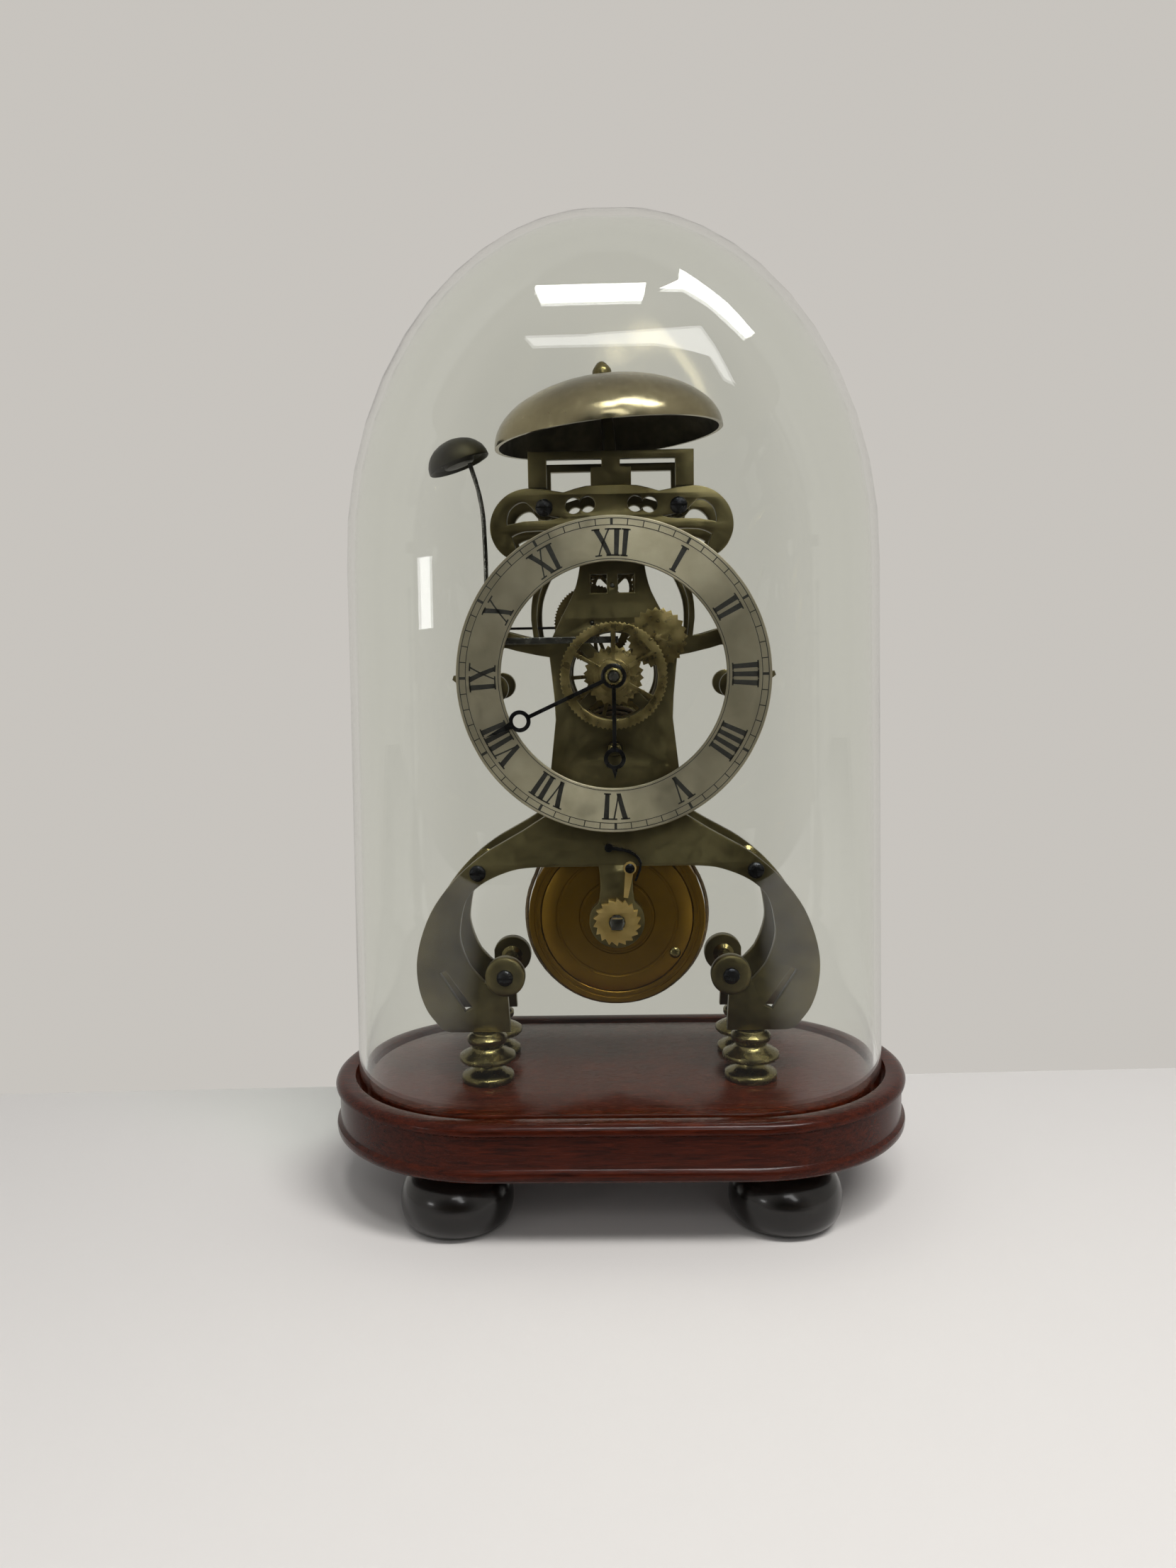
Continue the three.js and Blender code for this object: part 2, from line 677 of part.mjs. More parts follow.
// Dial ring on four posts
const dialShape = disc(dialRadius);
dialShape.holes.push(circlePath(dialBore, 44));
piece(frame, 'dial_ring', sheet(dialShape, dialFront, dialThickness, 22), silvered, 0, 0, centreZ);
for (const [rowName, shares] of [['upper', armBallShares], ['lower', dialPostShares]]) {
  for (const [sideName, side] of sides) {
    const [x, z] = onFrame(shares, side);
    const post = rod(dialPostRadius, dialBack, -plateOuter, 10);
    piece(frame, `dial_post_${rowName}_${sideName}`, post, brass, x, 0, z);
  }
}

// Barrel with its mainspring, turning on a fixed arbor
const barrelHalf = barrelLength / 2;
const barrelBore = barrelArborRadius + fitGap;
const coverRadius = barrelRadius - barrelLip;

function makeBarrelDrum() {
  const inner = barrelRadius - barrelWall;
  return turnedAlong([
    [coverRadius + fitGap, -barrelHalf],
    [barrelRadius, -barrelHalf],
    [barrelRadius, barrelHalf],
    [barrelBore, barrelHalf],
    [barrelBore, barrelHalf - barrelWall],
    [inner, barrelHalf - barrelWall],
    [inner, -barrelHalf + barrelWall],
    [coverRadius + fitGap, -barrelHalf + barrelWall],
    [coverRadius + fitGap, -barrelHalf],
  ], 22);
}

function makeBarrelCover() {
  const front = -barrelHalf + fitGap;
  const back = -barrelHalf + barrelWall;
  return turnedAlong([
    [barrelBore, front], [coverRadius, front], [coverRadius, back], [barrelBore, back], [barrelBore, front],
  ], 22);
}

function makeBarrelArbor() {
  const front = -plateOuter - ratchetThickness - 2 * fitGap;
  const core = barrelHalf - barrelWall - 2 * fitGap;
  const shaft = turnedAlong([
    [0, front], [barrelArborRadius, front], [barrelArborRadius, -core], [barrelCoreRadius, -core],
    [barrelCoreRadius, core], [barrelArborRadius, core], [barrelArborRadius, plateOuter], [0, plateOuter],
  ], 14);
  const half = squareSide / 2;
  return join(shaft, block(-half, half, front - squareLength / 2, front + fitGap, -half, half));
}

function makeMainspring() {
  const coilSteps = 9;
  const steps = mainspringTurns * coilSteps;
  const inner = barrelCoreRadius + fitGap + mainspringThickness;
  const outer = barrelRadius - barrelWall - fitGap - mainspringThickness;
  const outside = [];
  const inside = [];
  for (let i = 0; i <= steps; i += 1) {
    const angle = (i / coilSteps) * 2 * Math.PI;
    const radius = THREE.MathUtils.lerp(inner, outer, i / steps);
    const half = mainspringThickness / 2;
    outside.push(new THREE.Vector2((radius + half) * Math.cos(angle), (radius + half) * Math.sin(angle)));
    inside.unshift(new THREE.Vector2((radius - half) * Math.cos(angle), (radius - half) * Math.sin(angle)));
  }
  const width = barrelLength - 2 * barrelWall - 4 * fitGap;
  return sheet(new THREE.Shape([...outside, ...inside]), -width / 2, width);
}

const barrel = new THREE.Group();
barrel.position.set(0, 0, barrelZ);
clock.add(barrel);
piece(barrel, 'barrel_drum', makeBarrelDrum(), amberBrass);
piece(barrel, 'barrel_cover', makeBarrelCover(), amberBrass);
piece(barrel, 'barrel_arbor', makeBarrelArbor(), steel);
piece(barrel, 'mainspring', makeMainspring(), steel);

// Set-up work on the barrel arbor: ratchet wheel, click and click spring
const ratchetRoot = ratchetRadius * 0.84;
const ratchetY = -plateOuter - fitGap - ratchetThickness;
const ratchetShape = gearShape(ratchetTeeth, ratchetRadius, ratchetRoot, sawToothShares, Math.PI / 2);
ratchetShape.holes.push(circlePath(barrelArborRadius + fitGap));
piece(barrel, 'ratchet_wheel', sheet(ratchetShape, ratchetY, ratchetThickness), steel);
const clickY = -plateOuter - fitGap - clickThickness;
const clickPivotX = barrelStrapWidth / 2 - clickWidth / 2;
const clickPivotZ = ratchetRadius + clickLength;

function makeClick() {
  const tip = [clickPivotX - clickWidth / 2, ratchetRadius + fitGap];
  const arm = ribbon([[clickPivotX, clickPivotZ], tip], [clickWidth, clickWidth / 2], 2);
  const eye = disc(clickWidth * 0.75, clickPivotX, clickPivotZ);
  return join(sheet(arm, clickY, clickThickness), sheet(eye, clickY, clickThickness, 6));
}

// The leaf springs from a stud above the click, passes round its eye and bears on its outer side
const clickSpringShares = [[-0.68, 0.68], [0, 0.55], [0.36, 0.17], [0.18, -0.42]];
const clickSpringWidthShares = [0.4, 0.3, 0.26, 0.2];

function makeClickSpring() {
  const centre = clickSpringShares.map(([x, z]) => (
    [clickPivotX + x * clickLength, clickPivotZ + z * clickLength]
  ));
  const leaf = ribbon(centre, clickSpringWidthShares.map((share) => share * clickWidth), 9);
  const head = rod(clickWidth / 2, -plateOuter - clickThickness - fitGap, -plateOuter, 10);
  return join(sheet(leaf, clickY, clickThickness), head.translate(centre[0][0], 0, centre[0][1]));
}

piece(barrel, 'click', makeClick(), steel);
piece(barrel, 'click_spring', makeClickSpring(), steel);

// Fusee: cone and arbor in one, with the great wheel at its large rear end
const fuseeHalf = fuseeLength / 2;
const greatMesh = meshedPair(fuseeBelowCentre, greatTeeth, centrePinionTeeth);
const greatY = fuseeHalf + fitGap;

// The radius grows from front to back so that radius times spring pull stays even
function fuseeRadiusAt(share) {
  const large = fuseeLargeRadius;
  const small = fuseeSmallRadius;
  return (small * large) / (large - share * (large - small));
}

function makeFusee() {
  const profile = [];
  const steps = 7;
  for (let i = 0; i <= steps; i += 1) {
    profile.push([fuseeRadiusAt(i / steps), -fuseeHalf + (i / steps) * fuseeLength]);
  }
  const front = dialFront + handThickness;
  const cone = turnedAlong([
    [0, front], [fuseeArborRadius, front], [fuseeArborRadius, -fuseeHalf], ...profile,
    [fuseeArborRadius, fuseeHalf], [fuseeArborRadius, plateOuter], [0, plateOuter],
  ], 16);
  const half = squareSide / 2;
  const squareBlank = block(-half, half, front, front + squareLength, -half, half);
  const trim = cut(rod(fuseeArborRadius + overrun, front - overrun, front + squareLength, 12), squareBlank);
  return cut(cone, trim);
}

function makeGreatWheel() {
  const shape = gearShape(greatTeeth, greatMesh.wheelTip, greatMesh.wheelRoot, wheelToothShares, Math.PI / 2);
  shape.holes.push(circlePath(fuseeArborRadius + fitGap));
  return sheet(shape, greatY, greatWheelThickness, 6);
}

// Line from the hook in the barrel, round the drum, across to the fusee and round its cone
function linePoints() {
  const points = [];
  const drum = barrelRadius + fitGap + lineRadius;
  const small = fuseeSmallRadius + fitGap + lineRadius;
  const drop = fuseeZ - barrelZ;
  const lean = Math.asin((drum - small) / drop);
  const leaveAngle = Math.PI - lean;
  const frontY = -fuseeHalf + lineRadius;
  const drumSteps = Math.round(barrelTurnShare * 24);
  for (let i = 0; i <= drumSteps; i += 1) {
    const angle = leaveAngle + ((drumSteps - i) / 24) * 2 * Math.PI;
    const y = frontY + ((drumSteps - i) / 24) * 3 * lineRadius;
    points.push([drum * Math.cos(angle), y, barrelZ + drum * Math.sin(angle), angle]);
  }
  const coneSteps = fuseeLoops * 24;
  for (let i = 0; i <= coneSteps; i += 1) {
    const share = i / coneSteps;
    const angle = leaveAngle - (i / 24) * 2 * Math.PI;
    const radius = fuseeRadiusAt(share) + fitGap + lineRadius;
    const y = frontY + share * (fuseeLength - 2 * lineRadius);
    points.push([radius * Math.cos(angle), y, fuseeZ + radius * Math.sin(angle), angle]);
  }
  return points;
}

// Least clear distance between turns of the line, on its own points
function leastGap(points) {
  const apart = 12;
  let least = Infinity;
  for (let i = 0; i < points.length; i += 1) {
    for (let j = i + apart; j < points.length; j += 1) {
      const [dx, dy, dz] = [0, 1, 2].map((k) => points[i][k] - points[j][k]);
      least = Math.min(least, Math.hypot(dx, dy, dz) - 2 * lineRadius);
    }
  }
  return least;
}

// Six-sided tube through the line's points; each ring lies in the plane of the axis and the radius
function makeLine() {
  const points = linePoints();
  console.log(`fusee_line least gap to itself: ${leastGap(points).toFixed(2)} mm`);
  const sidesRound = 6;
  const positions = [];
  for (const [x, y, z, angle] of points) {
    for (let k = 0; k < sidesRound; k += 1) {
      const turn = (k / sidesRound) * 2 * Math.PI;
      const out = lineRadius * Math.cos(turn);
      positions.push(x + out * Math.cos(angle), y + lineRadius * Math.sin(turn), z + out * Math.sin(angle));
    }
  }
  const last = points.length - 1;
  const first = points[0];
  positions.push(...first.slice(0, 3), ...points[last].slice(0, 3));
  const startCentre = points.length * sidesRound;
  const index = [];
  for (let i = 0; i < points.length; i += 1) {
    for (let k = 0; k < sidesRound; k += 1) {
      const next = (k + 1) % sidesRound;
      const [a, b] = [i * sidesRound + k, i * sidesRound + next];
      if (i < last) index.push(a, b, a + sidesRound, b, b + sidesRound, a + sidesRound);
      if (i === 0) index.push(startCentre, b, a);
      if (i === last) index.push(startCentre + 1, a, b);
    }
  }
  const geometry = new THREE.BufferGeometry();
  geometry.setAttribute('position', new THREE.Float32BufferAttribute(positions, 3));
  geometry.setIndex(index);
  return geometry;
}

const fusee = new THREE.Group();
fusee.position.set(0, 0, fuseeZ);
clock.add(fusee);
piece(fusee, 'fusee', makeFusee(), brass);
piece(fusee, 'great_wheel', makeGreatWheel(), brass);
piece(clock, 'fusee_line', makeLine(), gutLine);

// Going train between the plates
const centreMesh = meshedPair(centreToThird, centreTeeth, thirdPinionTeeth);
const thirdMesh = meshedPair(thirdToEscape, thirdTeeth, escapePinionTeeth);
const centreWheelY = -plateInner + plateGap / 6;
const thirdWheelY = -plateGap / 10;
const escapeWheelY = plateGap / 5;
const towardsThird = Math.atan2(thirdZ - centreZ, -thirdOffset);
const towardsEscape = Math.atan2(escapeZ - thirdZ, thirdOffset);

function halfPitch(teeth) {
  return Math.PI / teeth;
}

function pinion(teeth, mesh, towardsWheel, y, length) {
  const firstLeaf = towardsWheel + halfPitch(teeth);
  const shape = gearShape(teeth, mesh.pinionTip, mesh.pinionRoot, pinionLeafShares, firstLeaf);
  return sheet(shape, y, length);
}

function crossedWheel(teeth, tip, root, towards, bore, y, spokes) {
  const shape = gearShape(teeth, tip, root, wheelToothShares, towards);
  const rim = root - 2 * wheelThickness;
  const hub = bore + 1.6 * wheelThickness;
  addCrossings(shape, spokes, hub, rim, wheelThickness, towards);
  shape.holes.push(circlePath(bore));
  return sheet(shape, y, wheelThickness, 2);
}

function makeCentreArbor() {
  const front = dialFront - 2 * (handThickness + handGap) - handThickness;
  const pinionY = greatY + greatWheelThickness / 2 - pinionLength / 2;
  const shaft = turnedAlong([
    [0, front], [centreArborRadius, front], [centreArborRadius, plateOuter], [0, plateOuter],
  ], 12);
  return join(shaft, pinion(centrePinionTeeth, greatMesh, -Math.PI / 2, pinionY, pinionLength));
}

function makeLightArbor(pinionPart, back = plateOuter) {
  const shoulder = plateInner - fitGap;
  const shaft = turnedAlong([
    [0, -plateOuter], [pivotRadius, -plateOuter], [pivotRadius, -shoulder], [lightArborRadius, -shoulder],
    [lightArborRadius, shoulder], [pivotRadius, shoulder], [pivotRadius, back], [0, back],
  ], 8);
  return pinionPart ? join(shaft, pinionPart) : shaft;
}

const centre = new THREE.Group();
centre.position.set(0, 0, centreZ);
clock.add(centre);
piece(centre, 'centre_arbor', makeCentreArbor(), steel);
const centreBore = centreArborRadius + fitGap;
piece(centre, 'centre_wheel', crossedWheel(
  centreTeeth, centreMesh.wheelTip, centreMesh.wheelRoot, towardsThird, centreBore, centreWheelY, 5,
), brass);

const third = new THREE.Group();
third.position.set(-thirdOffset, 0, thirdZ);
clock.add(third);
const thirdPinionY = centreWheelY + wheelThickness / 2 - pinionLength / 2;
const thirdPinion = pinion(thirdPinionTeeth, centreMesh, towardsThird + Math.PI, thirdPinionY, pinionLength);
piece(third, 'third_arbor', makeLightArbor(thirdPinion), steel);
const lightBore = lightArborRadius + fitGap;
piece(third, 'third_wheel', crossedWheel(
  thirdTeeth, thirdMesh.wheelTip, thirdMesh.wheelRoot, towardsEscape, lightBore, thirdWheelY, 5,
), brass);

const escape = new THREE.Group();
escape.position.set(0, 0, escapeZ);
clock.add(escape);
const escapePinionY = thirdWheelY + wheelThickness / 2 - pinionLength / 2;
const escapePinion = pinion(
  escapePinionTeeth, thirdMesh, towardsEscape + Math.PI, escapePinionY, pinionLength,
);
piece(escape, 'escape_arbor', makeLightArbor(escapePinion), steel);
const escapeShape = gearShape(escapeTeeth, escapeRadius, escapeRadius * 0.8, sawToothShares, Math.PI / 2);
addCrossings(escapeShape, 4, 3 * lightArborRadius, escapeRadius * 0.68, wheelThickness, Math.PI / 4);
escapeShape.holes.push(circlePath(lightArborRadius + fitGap));
piece(escape, 'escape_wheel', sheet(escapeShape, escapeWheelY, wheelThickness, 2), brass);

// Recoil pallets: nibs stand clear of the wheel's tips at every swing
const palletShares = [
  [-0.93, 0.69], [-0.98, 1.1], [-0.55, 1.52], [0, 1.6], [0.55, 1.52], [0.98, 1.1], [0.93, 0.69],
];
const palletWidthShares = [0.12, 0.24, 0.26, 0.3, 0.26, 0.24, 0.12];

function makePallets() {
  const anchor = ribbon(
    palletShares.map(([x, z]) => [x * escapeRadius, z * escapeRadius - escapeToPallets]),
    palletWidthShares.map((share) => share * escapeRadius),
    14,
  );
  const y = escapeWheelY + wheelThickness / 2 - palletThickness / 2;
  const hub = disc(2 * lightArborRadius);
  const body = join(sheet(anchor, y, palletThickness), sheet(hub, y, palletThickness, 6));
  return cut(body, rod(lightArborRadius + fitGap, y - overrun, y + palletThickness + overrun, 8));
}

// Pallet arbor with the crutch behind the back plate; its fork embraces the pendulum rod
function makePalletArbor() {
  const crutchY = (plateOuter + pendulumY) / 2 - crutchRadius;
  const hub = rod(2 * pivotRadius, plateOuter + fitGap, crutchY + crutchRadius, 10);
  const [stemFront, stemBack] = [crutchY - crutchRadius, crutchY + crutchRadius];
  const stem = block(-crutchRadius, crutchRadius, stemFront, stemBack, -crutchLength, 0);
  const prongIn = pendulumRodRadius + fitGap;
  const prongOut = prongIn + 2 * crutchRadius;
  const prongTop = 2 * crutchRadius - crutchLength;
  const bridge = block(-prongOut, prongOut, stemFront, stemBack, -crutchLength, prongTop);
  const prongs = [-1, 1].map((side) => block(
    Math.min(side * prongIn, side * prongOut), Math.max(side * prongIn, side * prongOut),
    crutchY, pendulumY + 2 * pendulumRodRadius, -crutchLength, prongTop,
  ));
  return join(makeLightArbor(null, crutchY), hub, stem, bridge, ...prongs);
}

const pallets = new THREE.Group();
pallets.position.set(0, 0, palletZ);
clock.add(pallets);
piece(pallets, 'pallet_arbor', makePalletArbor(), steel);
piece(pallets, 'pallets', makePallets(), steel);

// Back cock and the pendulum that hangs from it
function makeBackCock() {
  const half = cockWidth / 2;
  const low = palletZ + cockAboveArbor;
  const arm = block(-half, half, plateOuter, pendulumY + cockThickness, low, low + cockThickness);
  return join(arm, block(-half, half, plateOuter, plateOuter + cockThickness, low, low + cockFlange));
}

const suspensionTop = cockAboveArbor - fitGap;
const rodTop = suspensionTop - suspensionLength - fitGap;
const rodBottom = -pendulumDrop - rodBelowBob;
const bobProfileShares = [
  [0, -0.5], [0.5, -0.42], [0.85, -0.22], [1, -0.06], [1, 0.06], [0.85, 0.22], [0.5, 0.42], [0, 0.5],
];

function makePendulumRod() {
  const ferrule = 2 * pendulumRodRadius;
  return turnedUpright([
    [0, rodBottom], [pendulumRodRadius, rodBottom], [pendulumRodRadius, rodTop - 2 * ferrule],
    [ferrule, rodTop - 2 * ferrule], [ferrule, rodTop], [0, rodTop],
  ], 10);
}

function makeBob() {
  const lens = turnedAlong(bobProfileShares.map(([r, y]) => [r * bobRadius, y * bobThickness]), 18);
  const bore = pendulumRodRadius + fitGap;
  const reach = bobRadius + overrun;
  const tool = [[0, -reach], [bore, -reach], [bore, reach], [0, reach]];
  return cut(lens, turnedUpright(tool, 10));
}

function makeRatingNut() {
  const bore = pendulumRodRadius + fitGap;
  const edge = ratingNutHeight / 5;
  return turnedUpright([
    [bore, 0], [ratingNutRadius - edge, 0], [ratingNutRadius, edge],
    [ratingNutRadius, ratingNutHeight - edge], [ratingNutRadius - edge, ratingNutHeight],
    [bore, ratingNutHeight], [bore, 0],
  ], 12);
}

piece(frame, 'back_cock', makeBackCock(), brass);
const pendulum = new THREE.Group();
pendulum.position.set(0, pendulumY, palletZ);
clock.add(pendulum);
const springHalf = suspensionWidth / 2;
const leafHalf = suspensionThickness / 2;
piece(pendulum, 'suspension_spring', block(
  -springHalf, springHalf, -leafHalf, leafHalf, suspensionTop - suspensionLength, suspensionTop,
), steel);
piece(pendulum, 'pendulum_rod', makePendulumRod(), steel);
piece(pendulum, 'pendulum_bob', makeBob(), brass, 0, 0, -pendulumDrop);
const ratingNutDrop = pendulumDrop + bobRadius + fitGap + ratingNutHeight;
piece(pendulum, 'rating_nut', makeRatingNut(), brass, 0, 0, -ratingNutDrop);

// Motion work: cannon wheel with the strike cam, minute wheel with its pinion, hour wheel
const motionMesh = meshedPair(motionDistance, motionTeeth, motionTeeth);
const hourMesh = meshedPair(motionDistance, hourTeeth, minutePinionTeeth);
const motionTurn = THREE.MathUtils.degToRad(motionAngle);
const cannonY = -plateOuter - motionStandOff - wheelThickness;
const camY = cannonY - wheelThickness;
const hourWheelY = camY - 2 * fitGap - 1.6 * wheelThickness;
const minuteX = motionDistance * Math.cos(motionTurn);
const minuteZ = motionDistance * Math.sin(motionTurn);

// Snail that lifts the hammer tail once an hour and lets it drop
function makeStrikeCam() {
  const points = [];
  const steps = 20;
  for (let i = 0; i <= steps; i += 1) {
    const angle = (i / steps) * 2 * Math.PI;
    const radius = THREE.MathUtils.lerp(strikeCamLow, strikeCamRadius, i / steps);
    points.push(new THREE.Vector2(radius * Math.cos(angle), radius * Math.sin(angle)));
  }
  return new THREE.Shape(points);
}

function makeCannon() {
  const bore = centreArborRadius + fitGap;
  const sleeve = bore + wheelThickness;
  const wheel = gearShape(
    motionTeeth, motionMesh.wheelTip, motionMesh.wheelRoot, wheelToothShares, motionTurn,
  );
  const sleeveFront = dialFront - handThickness - handGap;
  const parts = join(
    sheet(wheel, cannonY, wheelThickness),
    sheet(makeStrikeCam(), camY, wheelThickness + fitGap),
    rod(sleeve, sleeveFront + fitGap, cannonY + wheelThickness, 14),
  );
  return cut(parts, rod(bore, sleeveFront - overrun, cannonY + wheelThickness + overrun, 12));
}

function makeHourWheel() {
  const bore = centreArborRadius + 2 * fitGap + wheelThickness;
  const pipe = bore + wheelThickness / 2;
  const gap = motionTurn + Math.PI / hourTeeth;
  const shape = gearShape(hourTeeth, hourMesh.wheelTip, hourMesh.wheelRoot, wheelToothShares, gap);
  const rim = hourMesh.wheelRoot - 2 * wheelThickness;
  addCrossings(shape, 6, pipe + wheelThickness, rim, wheelThickness, Math.PI / 6);
  const wheel = sheet(shape, hourWheelY, wheelThickness, 2);
  const body = join(wheel, rod(pipe, dialFront + fitGap, hourWheelY + wheelThickness, 14));
  return cut(body, rod(bore, dialFront - overrun, hourWheelY + wheelThickness + overrun, 12));
}

function makeMinuteWheel() {
  const gap = motionTurn + Math.PI + halfPitch(motionTeeth);
  const shape = gearShape(motionTeeth, motionMesh.wheelTip, motionMesh.wheelRoot, wheelToothShares, gap);
  const leaves = gearShape(
    minutePinionTeeth, hourMesh.pinionTip, hourMesh.pinionRoot, pinionLeafShares, motionTurn + Math.PI,
  );
  const front = hourWheelY - fitGap;
  const body = join(
    sheet(shape, cannonY, wheelThickness),
    sheet(leaves, front, cannonY - front + wheelThickness / 2),
    rod(2 * studRadius, cannonY, -plateOuter - fitGap, 12),
  );
  return cut(body, rod(studRadius + fitGap, cannonY, -plateOuter + overrun, 8));
}

piece(centre, 'cannon_wheel', makeCannon(), brass);
piece(centre, 'hour_wheel', makeHourWheel(), brass);
const minute = new THREE.Group();
minute.position.set(minuteX, 0, minuteZ);
centre.add(minute);
piece(minute, 'minute_wheel', makeMinuteWheel(), brass);
piece(minute, 'minute_stud', rod(studRadius, cannonY + fitGap, -plateOuter, 8), steel);

// Hands: a slender stem, an open ring and a point, turned clockwise from twelve
function handShape(length, ringAt) {
  const half = handStemWidth / 2;
  const stem = new THREE.Shape([
    new THREE.Vector2(-half, 0), new THREE.Vector2(half, 0),
    new THREE.Vector2(half, ringAt), new THREE.Vector2(-half, ringAt),
  ]);
  const point = new THREE.Shape([
    new THREE.Vector2(-handStemWidth, ringAt + handRingBore),
    new THREE.Vector2(handStemWidth, ringAt + handRingBore),
    new THREE.Vector2(0, length),
  ]);
  return [stem, point];
}

function makeHand(length, ringAt, bore, angle, y) {
  const t = handThickness;
  const [stem, point] = handShape(length, ringAt);
  const parts = [sheet(stem, y, t), sheet(point, y, t)];
  parts.push(sheet(disc(handRingRadius, 0, ringAt), y, t, 7));
  parts.push(rod(Math.max(handHubRadius, bore + wheelThickness / 2), y, y + t, 16));
  const holes = [rod(bore, y - overrun, y + t + overrun, 12)];
  holes.push(sheet(disc(handRingBore, 0, ringAt), y - overrun, t + 2 * overrun, 5));
  return cut(join(...parts), ...holes).rotateY(THREE.MathUtils.degToRad(angle));
}

const hourHandY = dialFront - handThickness;
const minuteHandY = hourHandY - handGap - handThickness;
const hourHandBore = centreArborRadius + 2 * fitGap + wheelThickness;
const hourHand = makeHand(hourHandLength, hourRingAt, hourHandBore, hourHandAngle, hourHandY);
const minuteHand = makeHand(
  minuteHandLength, minuteRingAt, centreArborRadius + fitGap, minuteHandAngle, minuteHandY,
);
piece(centre, 'hour_hand', hourHand, steel);
piece(centre, 'minute_hand', minuteHand, steel);

function makeHandNut() {
  const bore = centreArborRadius + fitGap;
  const back = minuteHandY - fitGap;
  const front = back - 2 * handThickness;
  return turnedAlong([
    [0, front - handThickness / 2], [handNutRadius * 0.7, front - handThickness / 2], [handNutRadius, front],
    [handNutRadius, back], [bore, back], [bore, front], [0, front],
  ], 14);
}

piece(centre, 'hand_nut', makeHandNut(), brass);

// Bell stand: arches on both crests, a block across them and a stud that leans with the bell
function makeBellStand() {
  const top = frameTop + bellStandHeight;
  const barLow = top - bellBarHeight;
  const postX = bellPostSpan / 2;
  const earWidths = earWidthShares.map((share) => share * earBandWidth);
  const ear = ribbon(earShares.map((share) => onFrame(share)), earWidths, 15);
  const nearPost = ear.getPoints().filter((point) => Math.abs(point.x - postX) < bellPostWidth);
  const postLow = Math.max(...nearPost.map((point) => point.y)) + fitGap;
  const parts = [];
  for (const depth of [-1, 1]) {
    const [y0, y1] = depth < 0 ? [-plateOuter, -plateInner] : [plateInner, plateOuter];
    const half = (bellPostSpan + bellPostWidth) / 2;
    parts.push(block(-half, half, y0, y1, barLow, top));
    for (const side of [-1, 1]) {
      const x = side * postX;
      parts.push(block(x - bellPostWidth / 2, x + bellPostWidth / 2, y0, y1, postLow, top));
    }
    parts.push(block(-bellPostWidth / 2, bellPostWidth / 2, y0, y1, frameTop, top));
  }
  const blockHalf = bellBlockWidth / 2;
  parts.push(block(-blockHalf, blockHalf, -plateOuter, plateOuter, frameTop, frameTop + bellBlockHeight));
  parts.push(block(-bellPostWidth / 2, bellPostWidth / 2, -plateOuter, plateOuter, barLow, top));
  const crown = bellAboveStand + bellHeight;
  const collarTop = crown - bellWall - fitGap;
  const stud = turnedUpright([
    [0, -bellBarHeight / 2], [bellStudRadius, -bellBarHeight / 2],
    [bellStudRadius, collarTop - bellStudRadius],
    [bellCollarRadius, collarTop - bellStudRadius / 2], [bellCollarRadius, collarTop],
    [bellStudRadius, collarTop], [bellStudRadius, crown + bellNutHeight / 2], [0, crown + bellNutHeight / 2],
  ], 12);
  parts.push(stud.rotateY(THREE.MathUtils.degToRad(-bellTilt)).translate(0, 0, top));
  return join(...parts);
}

function makeBell() {
  const steps = 5;
  const bore = bellStudRadius + fitGap;
  const outside = [];
  const inside = [];
  const wallAt = Math.acos(bore / bellRadius);
  for (let i = 0; i <= steps; i += 1) {
    const angle = (i / steps) * wallAt;
    outside.push([bellRadius * Math.cos(angle), bellHeight * Math.sin(angle)]);
    const innerRadius = Math.max(bore, (bellRadius - bellWall) * Math.cos(angle));
    inside.unshift([i === steps ? bore : innerRadius, (bellHeight - bellWall) * Math.sin(angle)]);
  }
  return turnedUpright([...outside, ...inside, outside[0]], 24);
}

function makeBellNut() {
  const bore = bellStudRadius + fitGap;
  const low = bellHeight + fitGap;
  const high = low + bellNutHeight;
  const cap = high - bellNutHeight / 4;
  return turnedUpright([
    [0, high], [bellNutRadius / 2, high], [bellNutRadius, cap - bellNutHeight / 4], [bellNutRadius, low],
    [bore, low], [bore, cap], [0, cap],
  ], 12);
}

piece(frame, 'bell_stand', makeBellStand(), brass);
const bellGroup = new THREE.Group();
bellGroup.position.set(0, 0, frameTop + bellStandHeight);
bellGroup.rotation.y = THREE.MathUtils.degToRad(-bellTilt);
clock.add(bellGroup);
piece(bellGroup, 'bell', makeBell(), bellMetal, 0, 0, bellAboveStand);
piece(bellGroup, 'bell_nut', makeBellNut(), brass, 0, 0, bellAboveStand);

// Hammer: arbor through both left arms, curved stem, mushroom head and a tail over the strike cam
const hammerRise = frameTop + bellStandHeight + bellAboveStand - hammerZ;
const hammerStemShares = [[0, 0], [0, 0.25], [-0.002, 0.5], [-0.016, 0.7], [-0.07, 0.897]];
const hammerHeadShares = [-0.12, 0.885];
const tailLength = -hammerX + overrun;
const tailLow = strikeCamRadius + strikeCamLow / 2 - (hammerZ - centreZ);

function makeHammerArbor() {
  const tailY = camY + fitGap;
  const front = tailY - fitGap;
  const shaft = rod(hammerArborRadius, front, plateOuter, 12);
  const hub = rod(hammerHubRadius, hammerStemY - hammerHubRadius, hammerStemY + hammerHubRadius, 12);
  const tail = block(0, tailLength, tailY, tailY + hammerTailThickness, tailLow, tailLow + hammerTailHeight);
  const tailHub = rod(hammerHubRadius, tailY, tailY + hammerTailThickness, 12);
  const riser = block(
    -hammerTailHeight / 2, hammerTailHeight / 2, tailY, tailY + hammerTailThickness,
    Math.min(tailLow, 0), Math.max(tailLow + hammerTailHeight, 0),
  );
  return join(shaft, hub, tail, tailHub, riser, makeHammerStem());
}

